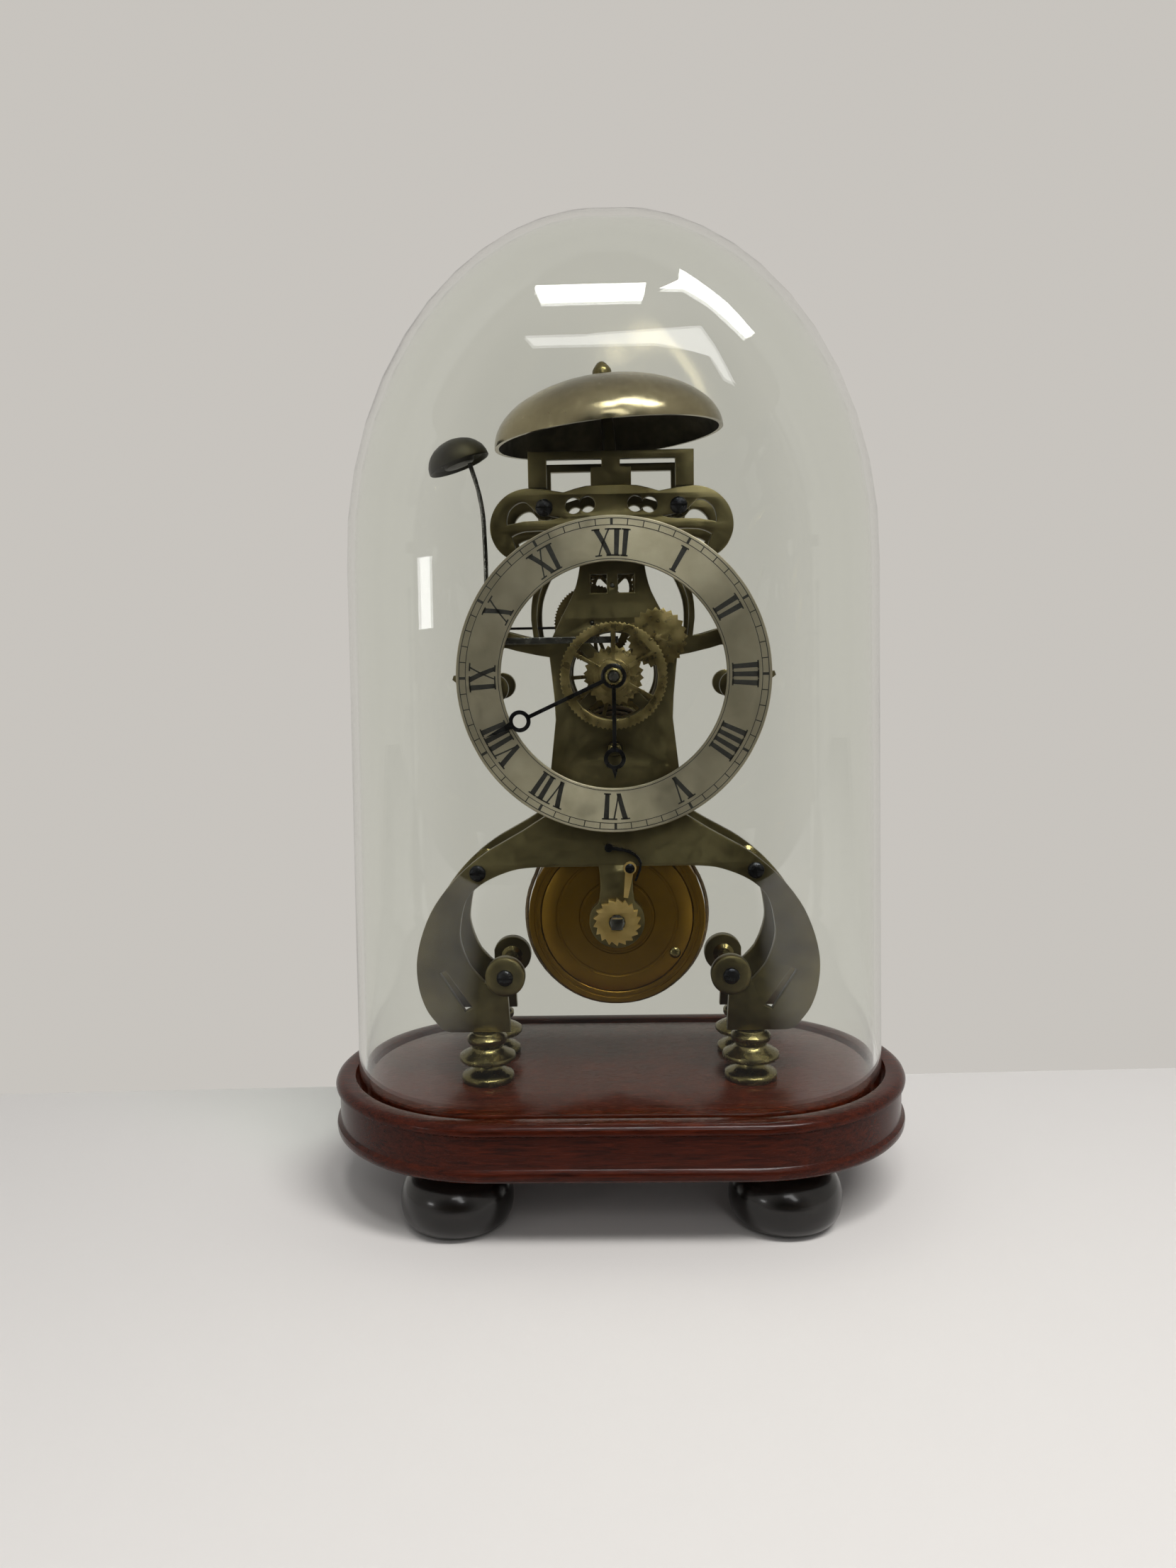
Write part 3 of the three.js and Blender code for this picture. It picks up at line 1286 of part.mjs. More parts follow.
function makeHammerStem() {
  const path = new THREE.CatmullRomCurve3(hammerStemShares.map(([x, z]) => (
    new THREE.Vector3(x * hammerRise, hammerStemY, z * hammerRise)
  )));
  const section = new THREE.Shape().absarc(0, 0, hammerStemWidth / 2, 0, 2 * Math.PI, false);
  const options = { steps: 9, curveSegments: 3, bevelEnabled: false, extrudePath: path };
  return new THREE.ExtrudeGeometry(section, options);
}

const hammerHeadProfileShares = [[0, 0], [1, 0], [0.98, 0.25], [0.8, 0.62], [0.45, 0.9], [0, 1]];

function makeHammerHead() {
  const profile = hammerHeadProfileShares.map(([r, h]) => [r * hammerHeadRadius, h * hammerHeadHeight]);
  return turnedUpright(profile, 18);
}

const hammer = new THREE.Group();
hammer.position.set(hammerX, 0, hammerZ);
clock.add(hammer);
piece(hammer, 'hammer_arbor', makeHammerArbor(), steel);
const head = piece(
  hammer, 'hammer_head', makeHammerHead(), brass, hammerHeadShares[0] * hammerRise, hammerStemY,
  hammerHeadShares[1] * hammerRise,
);
head.rotation.y = THREE.MathUtils.degToRad(-hammerHeadTilt);

// Return spring: a wire from a stud in the back plate that bears on the root of the stem
const springReach = 0.39;
const springRise = 2 * hammerSpringWidth;
const springClear = 1.5;

function makeHammerSpring() {
  const w = hammerSpringWidth;
  const right = -hammerStemWidth / 2 - springClear;
  const low = hammerHubRadius + springRise;
  const footX = hammerRise * springReach;
  const wire = block(right - w, right, -w, hammerHubRadius + w, low, low + 3 * w);
  const arm = block(right - w, footX, hammerHubRadius, hammerHubRadius + w, low, low + w);
  const post = rod(w, hammerHubRadius, plateInner, 8).translate(footX - w, 0, low + w / 2);
  return join(wire, arm, post);
}

piece(hammer, 'hammer_spring', makeHammerSpring(), steel);

export default clock;
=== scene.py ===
import bmesh
import bpy
import math
from mathutils import Matrix, Vector


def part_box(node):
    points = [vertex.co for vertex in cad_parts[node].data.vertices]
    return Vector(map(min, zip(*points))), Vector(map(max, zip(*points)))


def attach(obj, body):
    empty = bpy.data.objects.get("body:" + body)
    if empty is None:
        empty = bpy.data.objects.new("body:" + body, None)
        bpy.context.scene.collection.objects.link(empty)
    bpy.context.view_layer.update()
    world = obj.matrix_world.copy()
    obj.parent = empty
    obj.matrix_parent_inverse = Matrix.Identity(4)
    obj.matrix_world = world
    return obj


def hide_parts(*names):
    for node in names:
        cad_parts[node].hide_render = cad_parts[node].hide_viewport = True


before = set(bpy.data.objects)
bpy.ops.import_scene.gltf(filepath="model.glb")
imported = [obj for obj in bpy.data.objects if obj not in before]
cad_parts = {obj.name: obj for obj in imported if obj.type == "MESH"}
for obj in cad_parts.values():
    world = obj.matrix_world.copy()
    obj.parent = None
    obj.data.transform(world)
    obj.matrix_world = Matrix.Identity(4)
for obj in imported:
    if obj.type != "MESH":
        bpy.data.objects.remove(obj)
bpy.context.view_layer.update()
MM = 0.001

# The view: a little above the middle of the clock, straight in front, looking slightly down.
# The lens and the small roll are the photograph's own.
lens_camera = bpy.data.cameras.new("clock_camera")
lens_camera.sensor_width = 36
lens_camera.lens = 27.67
clock_camera = bpy.data.objects.new("clock_camera", lens_camera)
bpy.context.scene.collection.objects.link(clock_camera)
turn_in = Matrix.Rotation(math.radians(1.3), 4, "Z")
look_down = Matrix.Rotation(math.radians(90 - 6.6), 4, "X")
roll = Matrix.Rotation(math.radians(-0.96), 4, "Z")
clock_camera.matrix_world = Matrix.Translation((0, -0.488, 0.224)) @ turn_in @ look_down @ roll
bpy.context.scene.camera = clock_camera
bpy.context.scene.view_settings.view_transform = "Standard"

# Base: a long plinth of polished mahogany with a moulded rim, and a raised board inside the
# groove that takes the dome. Both are shaped from a turned round, parted along the middle.
PLINTH_STRAIGHT, BASE_SEGMENTS = 49, 160
PLINTH_RINGS = [
    (40, 44.0), (60.2, 44.0), (60.2, 49.6), (60.5, 50.2), (61.2, 50.5), (65.2, 50.5), (66.6, 50.2),
    (67.8, 49.2), (68.4, 47.8), (68.2, 46.6), (67.4, 46.0), (66.9, 45.6), (66.9, 33.4), (67.4, 32.9),
    (68.3, 32.3), (68.5, 31.2), (68.3, 29.6), (67.4, 28.5), (66.3, 28.0), (40, 28.0),
]
BOARD_RINGS = [(30, 50), (53.8, 50), (54.5, 49.8), (54.9, 49.3), (55, 48.6), (55, 44.0), (30, 44.0)]
BOARD_TOP = 50
MAHOGANY_DARK = (0.011, 0.0020, 0.0010, 1)
MAHOGANY_RED = (0.050, 0.0078, 0.0026, 1)
MAHOGANY_PALE = (0.075, 0.013, 0.004, 1)


def nothing_selected():
    if bpy.context.object and bpy.context.object.mode != "OBJECT":
        bpy.ops.object.mode_set(mode="OBJECT")
    bpy.ops.object.select_all(action="DESELECT")


def only(piece):
    """Selects the piece alone and makes it the active one."""
    nothing_selected()
    piece.select_set(True)
    bpy.context.view_layer.objects.active = piece


def place_in_mesh(piece, at=(0, 0, 0), turned=(0, 0, 0)):
    """Turns a piece about the scene's origin, then moves it; both go into its mesh."""
    only(piece)
    bpy.ops.object.transform_apply(location=True, rotation=True, scale=True)
    piece.rotation_euler = turned
    piece.location = [v * MM for v in at]
    bpy.ops.object.transform_apply(location=True, rotation=True, scale=True)


def faces_outwards(smooth_to=0):
    """Ends the editing of a mesh: faces look outwards, and bends up to the angle are smooth."""
    bpy.ops.mesh.select_all(action="SELECT")
    bpy.ops.mesh.normals_make_consistent(inside=False)
    bpy.ops.object.mode_set(mode="OBJECT")
    if smooth_to:
        bpy.ops.object.shade_smooth_by_angle(angle=math.radians(smooth_to))


def turned_piece(name, rings, segments, bored=False):
    """A ring is drawn out step by step along the lathe's axis, each step at its own radius."""
    nothing_selected()
    radius, height = rings[0]
    bpy.ops.mesh.primitive_circle_add(
        vertices=segments, radius=radius * MM, location=(0, 0, height * MM),
        rotation=(0, 0, math.pi / segments))
    piece = bpy.context.object
    piece.name = piece.data.name = name
    bpy.ops.object.mode_set(mode="EDIT")
    bpy.ops.mesh.select_all(action="SELECT")
    if not bored:
        bpy.ops.mesh.edge_face_add()
    for next_radius, next_height in rings[1:]:
        rise = (next_height - height) * MM
        bpy.ops.mesh.extrude_region_move(TRANSFORM_OT_translate={"value": (0, 0, rise)})
        share = next_radius / radius
        bpy.ops.transform.resize(value=(share, share, 1), center_override=(0, 0, next_height * MM))
        radius, height = next_radius, next_height
    if bored:
        bpy.ops.mesh.select_all(action="DESELECT")
        bpy.ops.mesh.select_mode(type="EDGE")
        bpy.ops.mesh.select_non_manifold()
        bpy.ops.mesh.bridge_edge_loops()
        bpy.ops.mesh.select_mode(type="VERT")
    faces_outwards(34)
    place_in_mesh(piece)
    return piece


def parted(piece, half_straight):
    """Moves the two halves of a round apart along X, so that straight sides join them."""
    for vertex in piece.data.vertices:
        vertex.co.x += math.copysign(half_straight * MM, vertex.co.x)


def material(name, roughness, metallic=0.0):
    made = bpy.data.materials.new(name)
    made.use_nodes = True
    shader = made.node_tree.nodes["Principled BSDF"]
    shader.inputs["Roughness"].default_value = roughness
    shader.inputs["Metallic"].default_value = metallic
    return made, made.node_tree, shader


def noise(tree, scale=(1, 1, 1), **values):
    """Procedural noise on the piece's own coordinates, stretched by scale."""
    coordinates = tree.nodes.new("ShaderNodeTexCoord")
    mapping = tree.nodes.new("ShaderNodeMapping")
    mapping.inputs["Scale"].default_value = scale
    texture = tree.nodes.new("ShaderNodeTexNoise")
    for key, value in values.items():
        texture.inputs[key].default_value = value
    tree.links.new(coordinates.outputs["Object"], mapping.inputs["Vector"])
    tree.links.new(mapping.outputs["Vector"], texture.inputs["Vector"])
    return texture.outputs["Fac"]


def ramp(tree, source, stops, target):
    """Colours, or greys as values, that follow the source from stop to stop."""
    colours = tree.nodes.new("ShaderNodeValToRGB")
    while len(colours.color_ramp.elements) < len(stops):
        colours.color_ramp.elements.new(0.5)
    for element, (at, colour) in zip(colours.color_ramp.elements, stops):
        element.position = at
        element.color = colour
    tree.links.new(source, colours.inputs["Fac"])
    tree.links.new(colours.outputs["Color"], target)


def grey(value):
    return (value, value, value, 1)


def bump(tree, source, shader, strength, distance):
    relief = tree.nodes.new("ShaderNodeBump")
    relief.inputs["Strength"].default_value = strength
    relief.inputs["Distance"].default_value = distance
    tree.links.new(source, relief.inputs["Height"])
    tree.links.new(relief.outputs["Normal"], shader.inputs["Normal"])


def finished(piece, body, finish, slot, *nodes):
    piece.data.materials.clear()
    piece.data.materials.append(finish)
    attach(piece, body)
    if nodes:
        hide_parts(*nodes)


mahogany, tree, shader = material("french_polished_mahogany", 0.2)
grain = noise(tree, (9, 90, 120), Scale=7.0, Detail=7.0, Roughness=0.62, Distortion=0.7)
ramp(tree, grain, [(0.30, MAHOGANY_DARK), (0.62, MAHOGANY_RED), (0.8, MAHOGANY_PALE)],
     shader.inputs["Base Color"])
pores = noise(tree, (60, 1400, 1400), Scale=3.0, Detail=2.0)
ramp(tree, pores, [(0.4, grey(0.16)), (0.75, grey(0.34))], shader.inputs["Roughness"])
bump(tree, pores, shader, 0.1, 0.0001)
shader.inputs["Specular IOR Level"].default_value = 0.12
shader.inputs["Coat Weight"].default_value = 0.07
shader.inputs["Coat Roughness"].default_value = 0.06

plinth = turned_piece("plinth_moulded", PLINTH_RINGS, BASE_SEGMENTS)
parted(plinth, PLINTH_STRAIGHT)
finished(plinth, "frame", mahogany, "mahogany", "base_plinth")
board = turned_piece("board_raised", BOARD_RINGS, BASE_SEGMENTS)
parted(board, PLINTH_STRAIGHT)
finished(board, "frame", mahogany, "mahogany", "base_board")

# Feet of the base: four turned buns of ebonised wood under the plinth, each with a small neck.
BUN_HALF_SPAN = (64, 38)
BUN_RINGS = [
    (12.0, 0), (15.8, 0.25), (18.4, 1.4), (20.2, 3.2), (21.3, 5.6), (21.9, 8.4), (22, 11), (21.7, 13.8),
    (20.9, 16.4), (19.4, 19), (17.4, 21.2), (15.4, 22.8), (13.7, 23.8), (13.5, 24.5), (14.4, 25.2),
    (14.6, 26.4), (14.4, 27.6), (14.0, 28),
]
ebony, tree, shader = material("ebonised_wood", 0.2)
rings_of_wood = noise(tree, (40, 40, 260), Scale=4.0, Detail=4.0)
ramp(tree, rings_of_wood, [(0.35, (0.004, 0.0035, 0.003, 1)), (0.8, (0.013, 0.010, 0.008, 1))],
     shader.inputs["Base Color"])
shader.inputs["Specular IOR Level"].default_value = 0.35
shader.inputs["Coat Weight"].default_value = 0.25
shader.inputs["Coat Roughness"].default_value = 0.1


def four_places(half_x, half_y):
    """The places of four feet, each with its name."""
    return [(f"{end}_{side}", x, y) for side, x in (("left", -half_x), ("right", half_x))
            for end, y in (("front", -half_y), ("back", half_y))]


for place, x, y in four_places(*BUN_HALF_SPAN):
    bun = turned_piece(f"bun_{place}", BUN_RINGS, 64)
    place_in_mesh(bun, (x, y, 0))
    finished(bun, "frame", ebony, "ebonised_wood", f"bun_foot_{place}")

# Dome: hand blown glass, long in plan with round ends, 3 mm thick, standing loose in the groove.
# Its sides lean in slightly and its top is an arch both ways.
DOME_FOOT, DOME_TOP, DOME_WALL = 44.3, 389.0, 3.0
DOME_HALF_LONG, DOME_HALF_SHORT = 108, 59
LEAN_LONG, LEAN_SHORT, LEAN_HEIGHT = 3, 1.5, 200
ARCH_LONG, ARCH_SHORT = 134, 74
DOME_SEGMENTS = 128


def dome_half_sizes(z, inset):
    """Half the straight length and the end radius of the glass at a height."""
    lean = min(1, (z - DOME_FOOT) / LEAN_HEIGHT)
    rise = max(0, (z - (DOME_TOP - ARCH_LONG)) / (ARCH_LONG - inset))
    side_rise = max(0, (z - (DOME_TOP - ARCH_SHORT)) / (ARCH_SHORT - inset))
    long_half = (DOME_HALF_LONG - LEAN_LONG * lean - inset) * math.sqrt(max(0, 1 - rise ** 2))
    short_half = (DOME_HALF_SHORT - LEAN_SHORT * lean - inset) * math.sqrt(max(0, 1 - side_rise ** 2))
    short_half = min(short_half, long_half)
    return long_half - short_half, short_half


def dome_levels(inset):
    top = DOME_TOP - inset
    steps = (0, 8, 16, 24, 32, 40, 47, 54, 60, 66, 71, 76, 80, 84, 87)
    arch = [top - (ARCH_LONG - inset) * (1 - math.sin(math.radians(a))) for a in steps]
    return [DOME_FOOT, 90, 150, 210] + arch + [top - 0.02]


outside = [(dome_half_sizes(z, 0), z) for z in dome_levels(0)]
inside = [(dome_half_sizes(z, DOME_WALL), z) for z in dome_levels(DOME_WALL)]
shell = outside[::-1] + inside
dome = turned_piece("dome_of_glass", [(sizes[1], z) for sizes, z in shell], DOME_SEGMENTS)
for number, vertex in enumerate(dome.data.vertices):
    straight = shell[number // DOME_SEGMENTS][0][0]
    vertex.co.x += math.copysign(straight * MM, vertex.co.x)


def mixed(tree, share, first, second):
    """The first shader where the share is nought, the second where it is one."""
    mix = tree.nodes.new("ShaderNodeMixShader")
    tree.links.new(share, mix.inputs["Fac"])
    tree.links.new(first, mix.inputs[1])
    tree.links.new(second, mix.inputs[2])
    return mix.outputs["Shader"]


glass, tree, shader = material("blown_glass", 0.0)
shader.inputs["Base Color"].default_value = (0.93, 0.945, 0.915, 1)
shader.inputs["Transmission Weight"].default_value = 1.0
shader.inputs["IOR"].default_value = 1.46
ripple = noise(tree, (1, 1, 0.6), Scale=14.0, Detail=1.0)
bump(tree, ripple, shader, 0.25, 0.0006)
lamp_path = tree.nodes.new("ShaderNodeLightPath")
clear = tree.nodes.new("ShaderNodeBsdfTransparent")
clear.inputs["Color"].default_value = (0.95, 0.98, 0.96, 1)
through = mixed(tree, lamp_path.outputs["Is Shadow Ray"], shader.outputs["BSDF"], clear.outputs["BSDF"])
tree.links.new(through, tree.nodes["Material Output"].inputs["Surface"])
finished(dome, "dome", glass, "dome_glass", "glass_dome")

# Frame plates: two scrolled plates sawn from 4 mm brass and pierced, their edges just broken with
# a file. The rounded front faces of the volutes are separate bosses, pinned on.
PLATE_EDGE, SAME_LINE, BEND_STEP = 0.45, 1.2, 5
PLATE_INNER, PLATE_OUTER = 15, 19
VOLUTE_PLACE = (44.97, 92.68)
VOLUTE_RINGS = [(7.8, -0.2), (8.0, 0.3), (7.8, 0.7), (7.2, 1.0), (5.8, 1.25), (3.6, 1.38), (0.8, 1.4)]


def outlines(node, face_y):
    """The closed outlines of a node's flat face at face_y, as lists of x, z points in mm."""
    shape = bmesh.new()
    shape.from_mesh(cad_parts[node].data)
    bmesh.ops.remove_doubles(shape, verts=shape.verts, dist=1e-6)
    shape.normal_update()
    face_set = set()
    for face in shape.faces:
        if abs(face.normal.y) > 0.99 and abs(face.calc_center_median().y - face_y * MM) < 2e-5:
            face_set.add(face)
    step = {}
    for edge in shape.edges:
        if sum(f in face_set for f in edge.link_faces) == 1:
            a, b = edge.verts
            step.setdefault(a.index, []).append(b.index)
            step.setdefault(b.index, []).append(a.index)
    shape.verts.ensure_lookup_table()
    loops = []
    while step:
        start = next(iter(step))
        path = [start]
        here = start
        while True:
            after = step[here].pop()
            step[after].remove(here)
            if not step[here]:
                del step[here]
            if after == start:
                break
            path.append(after)
            here = after
        if start in step and not step[start]:
            del step[start]
        loops.append([(shape.verts[i].co.x / MM, shape.verts[i].co.z / MM) for i in path])
    shape.free()
    return loops


def eased(loop, corner, close):
    """An outline with its short and its straight steps merged, and its gentle bends made curves.

    Bends of more than corner degrees stay sharp, and points nearer than close mm become one.
    """
    points = []
    for x, z in loop:
        if not points or math.dist(points[-1], (x, z)) > close:
            points.append((x, z))
    if math.dist(points[0], points[-1]) <= close:
        points.pop()
    flat = [Vector(p) for p in points]
    count = len(flat)

    def bend(i):
        before, after = flat[i] - flat[i - 1], flat[(i + 1) % count] - flat[i]
        return math.degrees(before.angle_signed(after, 0))

    keep = [i for i in range(count) if abs(bend(i)) > SAME_LINE]
    flat = [flat[i] for i in keep]
    count = len(flat)
    bends = [bend(i) for i in range(count)]
    sharp = [abs(angle) > corner for angle in bends]
    result = []
    for i in range(count):
        j = (i + 1) % count
        chord = flat[j] - flat[i]
        length = chord.length
        leave = (flat[j] - flat[i - 1]).normalized() * length
        arrive = (flat[(j + 1) % count] - flat[i]).normalized() * length
        unit = chord.normalized()
        if (sharp[i] and sharp[j]) or ((sharp[i] or sharp[j]) and bends[i] * bends[j] < 0):
            leave, arrive = chord, chord
        elif sharp[i]:
            leave = 2 * arrive.dot(unit) * unit - arrive
        elif sharp[j]:
            arrive = 2 * leave.dot(unit) * unit - leave
        pieces = max(1, math.ceil(abs(leave.angle_signed(arrive, 0)) / math.radians(BEND_STEP)))
        for k in range(pieces):
            t = k / pieces
            result.append((2 * t ** 3 - 3 * t ** 2 + 1) * flat[i] + (t ** 3 - 2 * t ** 2 + t) * leave
                          + (3 * t ** 2 - 2 * t ** 3) * flat[j] + (t ** 3 - t ** 2) * arrive)
    return result


def in_scene(name, data):
    """Puts a mesh or a curve into the scene as an object, and selects it alone."""
    piece = bpy.data.objects.new(name, data)
    bpy.context.scene.collection.objects.link(piece)
    only(piece)
    return piece


def sawn_piece(name, node, face_y, front_y, back_y, edge, corner=50, close=0.3):
    """A flat piece sawn to the node's outline, with filed edges, made from a flat curve."""
    drawing = bpy.data.curves.new(name, "CURVE")
    drawing.dimensions = "2D"
    drawing.fill_mode = "BOTH"
    drawing.bevel_depth = edge * MM
    drawing.bevel_resolution = 1
    drawing.offset = -edge * MM
    drawing.extrude = ((back_y - front_y) / 2 - edge) * MM
    for loop in outlines(node, face_y):
        path = eased(loop, corner, close)
        spline = drawing.splines.new("POLY")
        spline.points.add(len(path) - 1)
        for point, (x, z) in zip(spline.points, path):
            point.co = (x * MM, z * MM, 0, 1)
        spline.use_cyclic_u = True
    in_scene(name, drawing)
    bpy.ops.object.convert(target="MESH")
    piece = bpy.context.object
    bpy.ops.object.mode_set(mode="EDIT")
    bpy.ops.mesh.select_all(action="SELECT")
    bpy.ops.mesh.remove_doubles(threshold=1e-6)
    faces_outwards(28)
    place_in_mesh(piece, (0, (front_y + back_y) / 2, 0), (math.radians(90), 0, 0))
    return piece


def along_y(piece, x, y, z, towards):
    """Lays a turned piece so that its height runs along Y, to the back (1) or to the front (-1)."""
    place_in_mesh(piece, (x, y, z), (math.radians(-90 * towards), 0, 0))


def joined(*pieces):
    nothing_selected()
    for piece in pieces:
        piece.select_set(True)
    bpy.context.view_layer.objects.active = pieces[0]
    bpy.ops.object.join()
    return bpy.context.object


def metal(name, dark, light, low, high, patch):
    """Bare metal: two tones in soft patches, uneven polish and the fine marks of handling."""
    made, nodes, skin = material(name, low, 1.0)
    patches = noise(nodes, Scale=patch, Detail=3.0, Roughness=0.5)
    tones = [(0.34, (*dark, 1)), (0.66, (*light, 1))]
    ramp(nodes, patches, tones, skin.inputs["Base Color"])
    marks = noise(nodes, Scale=300.0, Detail=3.0, Roughness=0.5)
    ramp(nodes, marks, [(0.3, grey(low)), (0.75, grey(high))], skin.inputs["Roughness"])
    bump(nodes, marks, skin, 0.004, 0.00005)
    return made


aged_brass = metal("aged_brass", (0.070, 0.056, 0.024), (0.175, 0.145, 0.070), 0.3, 0.46, 40.0)
for side_name, sign in (("front", -1), ("back", 1)):
    near, far = sorted((sign * PLATE_INNER, sign * PLATE_OUTER))
    plate = sawn_piece(
        f"plate_{side_name}", f"{side_name}_plate", sign * PLATE_INNER, near, far, PLATE_EDGE)
    bosses = []
    for x in (-VOLUTE_PLACE[0], VOLUTE_PLACE[0]):
        boss = turned_piece(f"volute_boss_{side_name}", VOLUTE_RINGS, 56)
        along_y(boss, x, sign * PLATE_OUTER, VOLUTE_PLACE[1], sign)
        bosses.append(boss)
    finished(joined(plate, *bosses), "frame", aged_brass, "brass", f"{side_name}_plate")

# Feet of the frame: four turned brass pedestals between the board and the plates' lower scrolls.
PEDESTAL_HALF_SPAN = (53, 17)
PEDESTAL_RINGS = [
    (9.6, 0), (10.4, 0.15), (10.58, 0.6), (10.58, 2.2), (10.2, 2.8), (8.4, 3.6), (6.6, 4.5), (5.8, 5.3),
    (5.5, 6.4), (5.8, 7.2), (8.2, 7.7), (10.6, 8.3), (11.4, 9.1), (11.5, 9.8), (11.2, 10.6), (10.0, 11.4),
    (7.9, 12.4), (6.6, 13.3), (6.3, 14.0), (6.9, 15.0), (7.8, 15.9), (8.05, 16.8), (8.0, 17.9),
    (7.3, 18.8), (6.0, 19.5), (5.75, 20),
]
turned_brass = metal("turned_brass", (0.115, 0.095, 0.038), (0.195, 0.162, 0.072), 0.2, 0.32, 60.0)
for place, x, y in four_places(*PEDESTAL_HALF_SPAN):
    pedestal = turned_piece(f"pedestal_{place}", PEDESTAL_RINGS, 56)
    place_in_mesh(pedestal, (x, y, BOARD_TOP))
    finished(pedestal, "frame", turned_brass, "brass", f"frame_foot_{place}")

# Pillars: six turned distance pieces that hold the plates 30 mm apart, each with a domed and
# slotted screw through either plate.
PILLAR_HALF = [
    (4.3, 0), (4.42, 0.3), (4.42, 1.3), (3.9, 1.7), (2.9, 2.4), (2.6, 3.4), (2.65, 5.6), (2.9, 8.6),
    (3.4, 11.6), (3.74, 12.9),
]
PILLAR_RINGS = PILLAR_HALF + [(3.3, 13.5), (3.3, 16.5)] + [(r, 30 - h) for r, h in PILLAR_HALF[::-1]]
SCREW_RINGS = [(3.3, 0), (3.3, 0.5), (3.1, 0.9), (2.5, 1.3), (1.5, 1.6), (0.4, 1.7)]
BLADE_HIGH = 4
PILLAR_PLACES = {"volute": VOLUTE_PLACE, "shoulder": (54.89, 134.84), "top": (25.63, 276.08)}


def slotted(screw, half_width, deep_from, radius):
    """A screwdriver slot, cut with a boolean block and applied."""
    nothing_selected()
    bpy.ops.mesh.primitive_cube_add(size=1, location=(0, 0, (deep_from + BLADE_HIGH / 2) * MM))
    blade = bpy.context.object
    blade.scale = (2.4 * radius * MM, 2 * half_width * MM, BLADE_HIGH * MM)
    only(screw)
    cut = screw.modifiers.new("slot", "BOOLEAN")
    cut.object = blade
    cut.operation = "DIFFERENCE"
    bpy.ops.object.modifier_apply(modifier=cut.name)
    bpy.data.objects.remove(blade)


blue_steel = metal("blued_steel", (0.012, 0.013, 0.017), (0.040, 0.040, 0.043), 0.22, 0.38, 160.0)
for place, (half_x, z) in PILLAR_PLACES.items():
    for side, sign in (("left", -1), ("right", 1)):
        pillar = turned_piece(f"pillar_{place}_{side}_turned", PILLAR_RINGS, 40)
        along_y(pillar, sign * half_x, -PLATE_INNER, z, 1)
        finished(pillar, "frame", turned_brass, "brass", f"pillar_{place}_{side}")
        for end, towards in (("front", -1), ("back", 1)):
            screw = turned_piece(f"screw_{place}_{end}_{side}", SCREW_RINGS, 28)
            slotted(screw, 0.35, 0.9, 3.3)
            proud = PLATE_OUTER + (1.4 if place == "volute" else 0)
            along_y(screw, sign * half_x, towards * proud, z, towards)
            finished(screw, "frame", blue_steel, "steel")

# Dial: a silvered brass ring on four short posts, grained round with the lathe. The Roman
# numerals and the minute track are engraved and filled with black wax.
DIAL_CENTRE, DIAL_FRONT = 212.0, -28.5
DIAL_RINGS = [(43, 0.25), (43.2, 0), (59.7, 0), (60, 0.3), (60, 2.0), (43, 2.0)]


def grained_round(made, amount):
    """The fine circular scratches that a lathe leaves on a face turned about Y."""
    nodes = made.node_tree
    skin = nodes.nodes["Principled BSDF"]
    skin.inputs["Anisotropic"].default_value = amount
    skin.inputs["Anisotropic Rotation"].default_value = 0.25
    round_the_face = nodes.nodes.new("ShaderNodeTangent")
    round_the_face.direction_type = "RADIAL"
    round_the_face.axis = "Y"
    nodes.links.new(round_the_face.outputs["Tangent"], skin.inputs["Tangent"])


silver, tree, shader = material("silvered_dial", 0.4, 0.85)
clouds = noise(tree, Scale=38.0, Detail=6.0, Roughness=0.6)
SILVER_TONES = [
    (0.3, (0.26, 0.225, 0.155, 1)), (0.55, (0.355, 0.31, 0.225, 1)), (0.8, (0.45, 0.40, 0.30, 1)),
]
ramp(tree, clouds, SILVER_TONES, shader.inputs["Base Color"])
tarnish = noise(tree, Scale=95.0, Detail=5.0, Roughness=0.65)
ramp(tree, tarnish, [(0.3, grey(0.32)), (0.7, grey(0.5))], shader.inputs["Roughness"])
grained_round(silver, 0.8)
dial = turned_piece("dial_ring_silvered", DIAL_RINGS, 180, bored=True)
along_y(dial, 0, DIAL_FRONT, DIAL_CENTRE, 1)
finished(dial, "frame", silver, "silvered", "dial_ring")

NUMERAL_LOW, NUMERAL_HIGH, WAX_PROUD = 44.9, 55.1, 0.05
THICK, THIN, SERIF, SIDE_GAP = 1.85, 0.6, 0.55, 1.1
STROKE_STEPS = 4
LETTER_WIDTH = {"I": 3.2, "V": 6.6, "X": 6.8}
wax, tree, shader = material("black_wax", 0.4)
specks = noise(tree, Scale=900.0, Detail=3.0)
ramp(tree, specks, [(0.3, (0.005, 0.0045, 0.004, 1)), (0.8, (0.02, 0.018, 0.015, 1))],
     shader.inputs["Base Color"])


def on_dial(radius, clockwise):
    return (radius * math.sin(clockwise) * MM, (DIAL_FRONT - WAX_PROUD) * MM,
            (DIAL_CENTRE + radius * math.cos(clockwise)) * MM)


def stroke_strip(stroke, clockwise):
    """One engraved stroke from its four corners, across and up the numeral, bent round the dial."""
    a, b, c, d = stroke
    rows = []
    for k in range(STROKE_STEPS + 1):
        t = k / STROKE_STEPS
        for low, high in ((a, d), (b, c)):
            across = low[0] + (high[0] - low[0]) * t
            radius = low[1] + (high[1] - low[1]) * t
            rows.append(on_dial(radius, clockwise + across / ((NUMERAL_LOW + NUMERAL_HIGH) / 2)))
    return rows


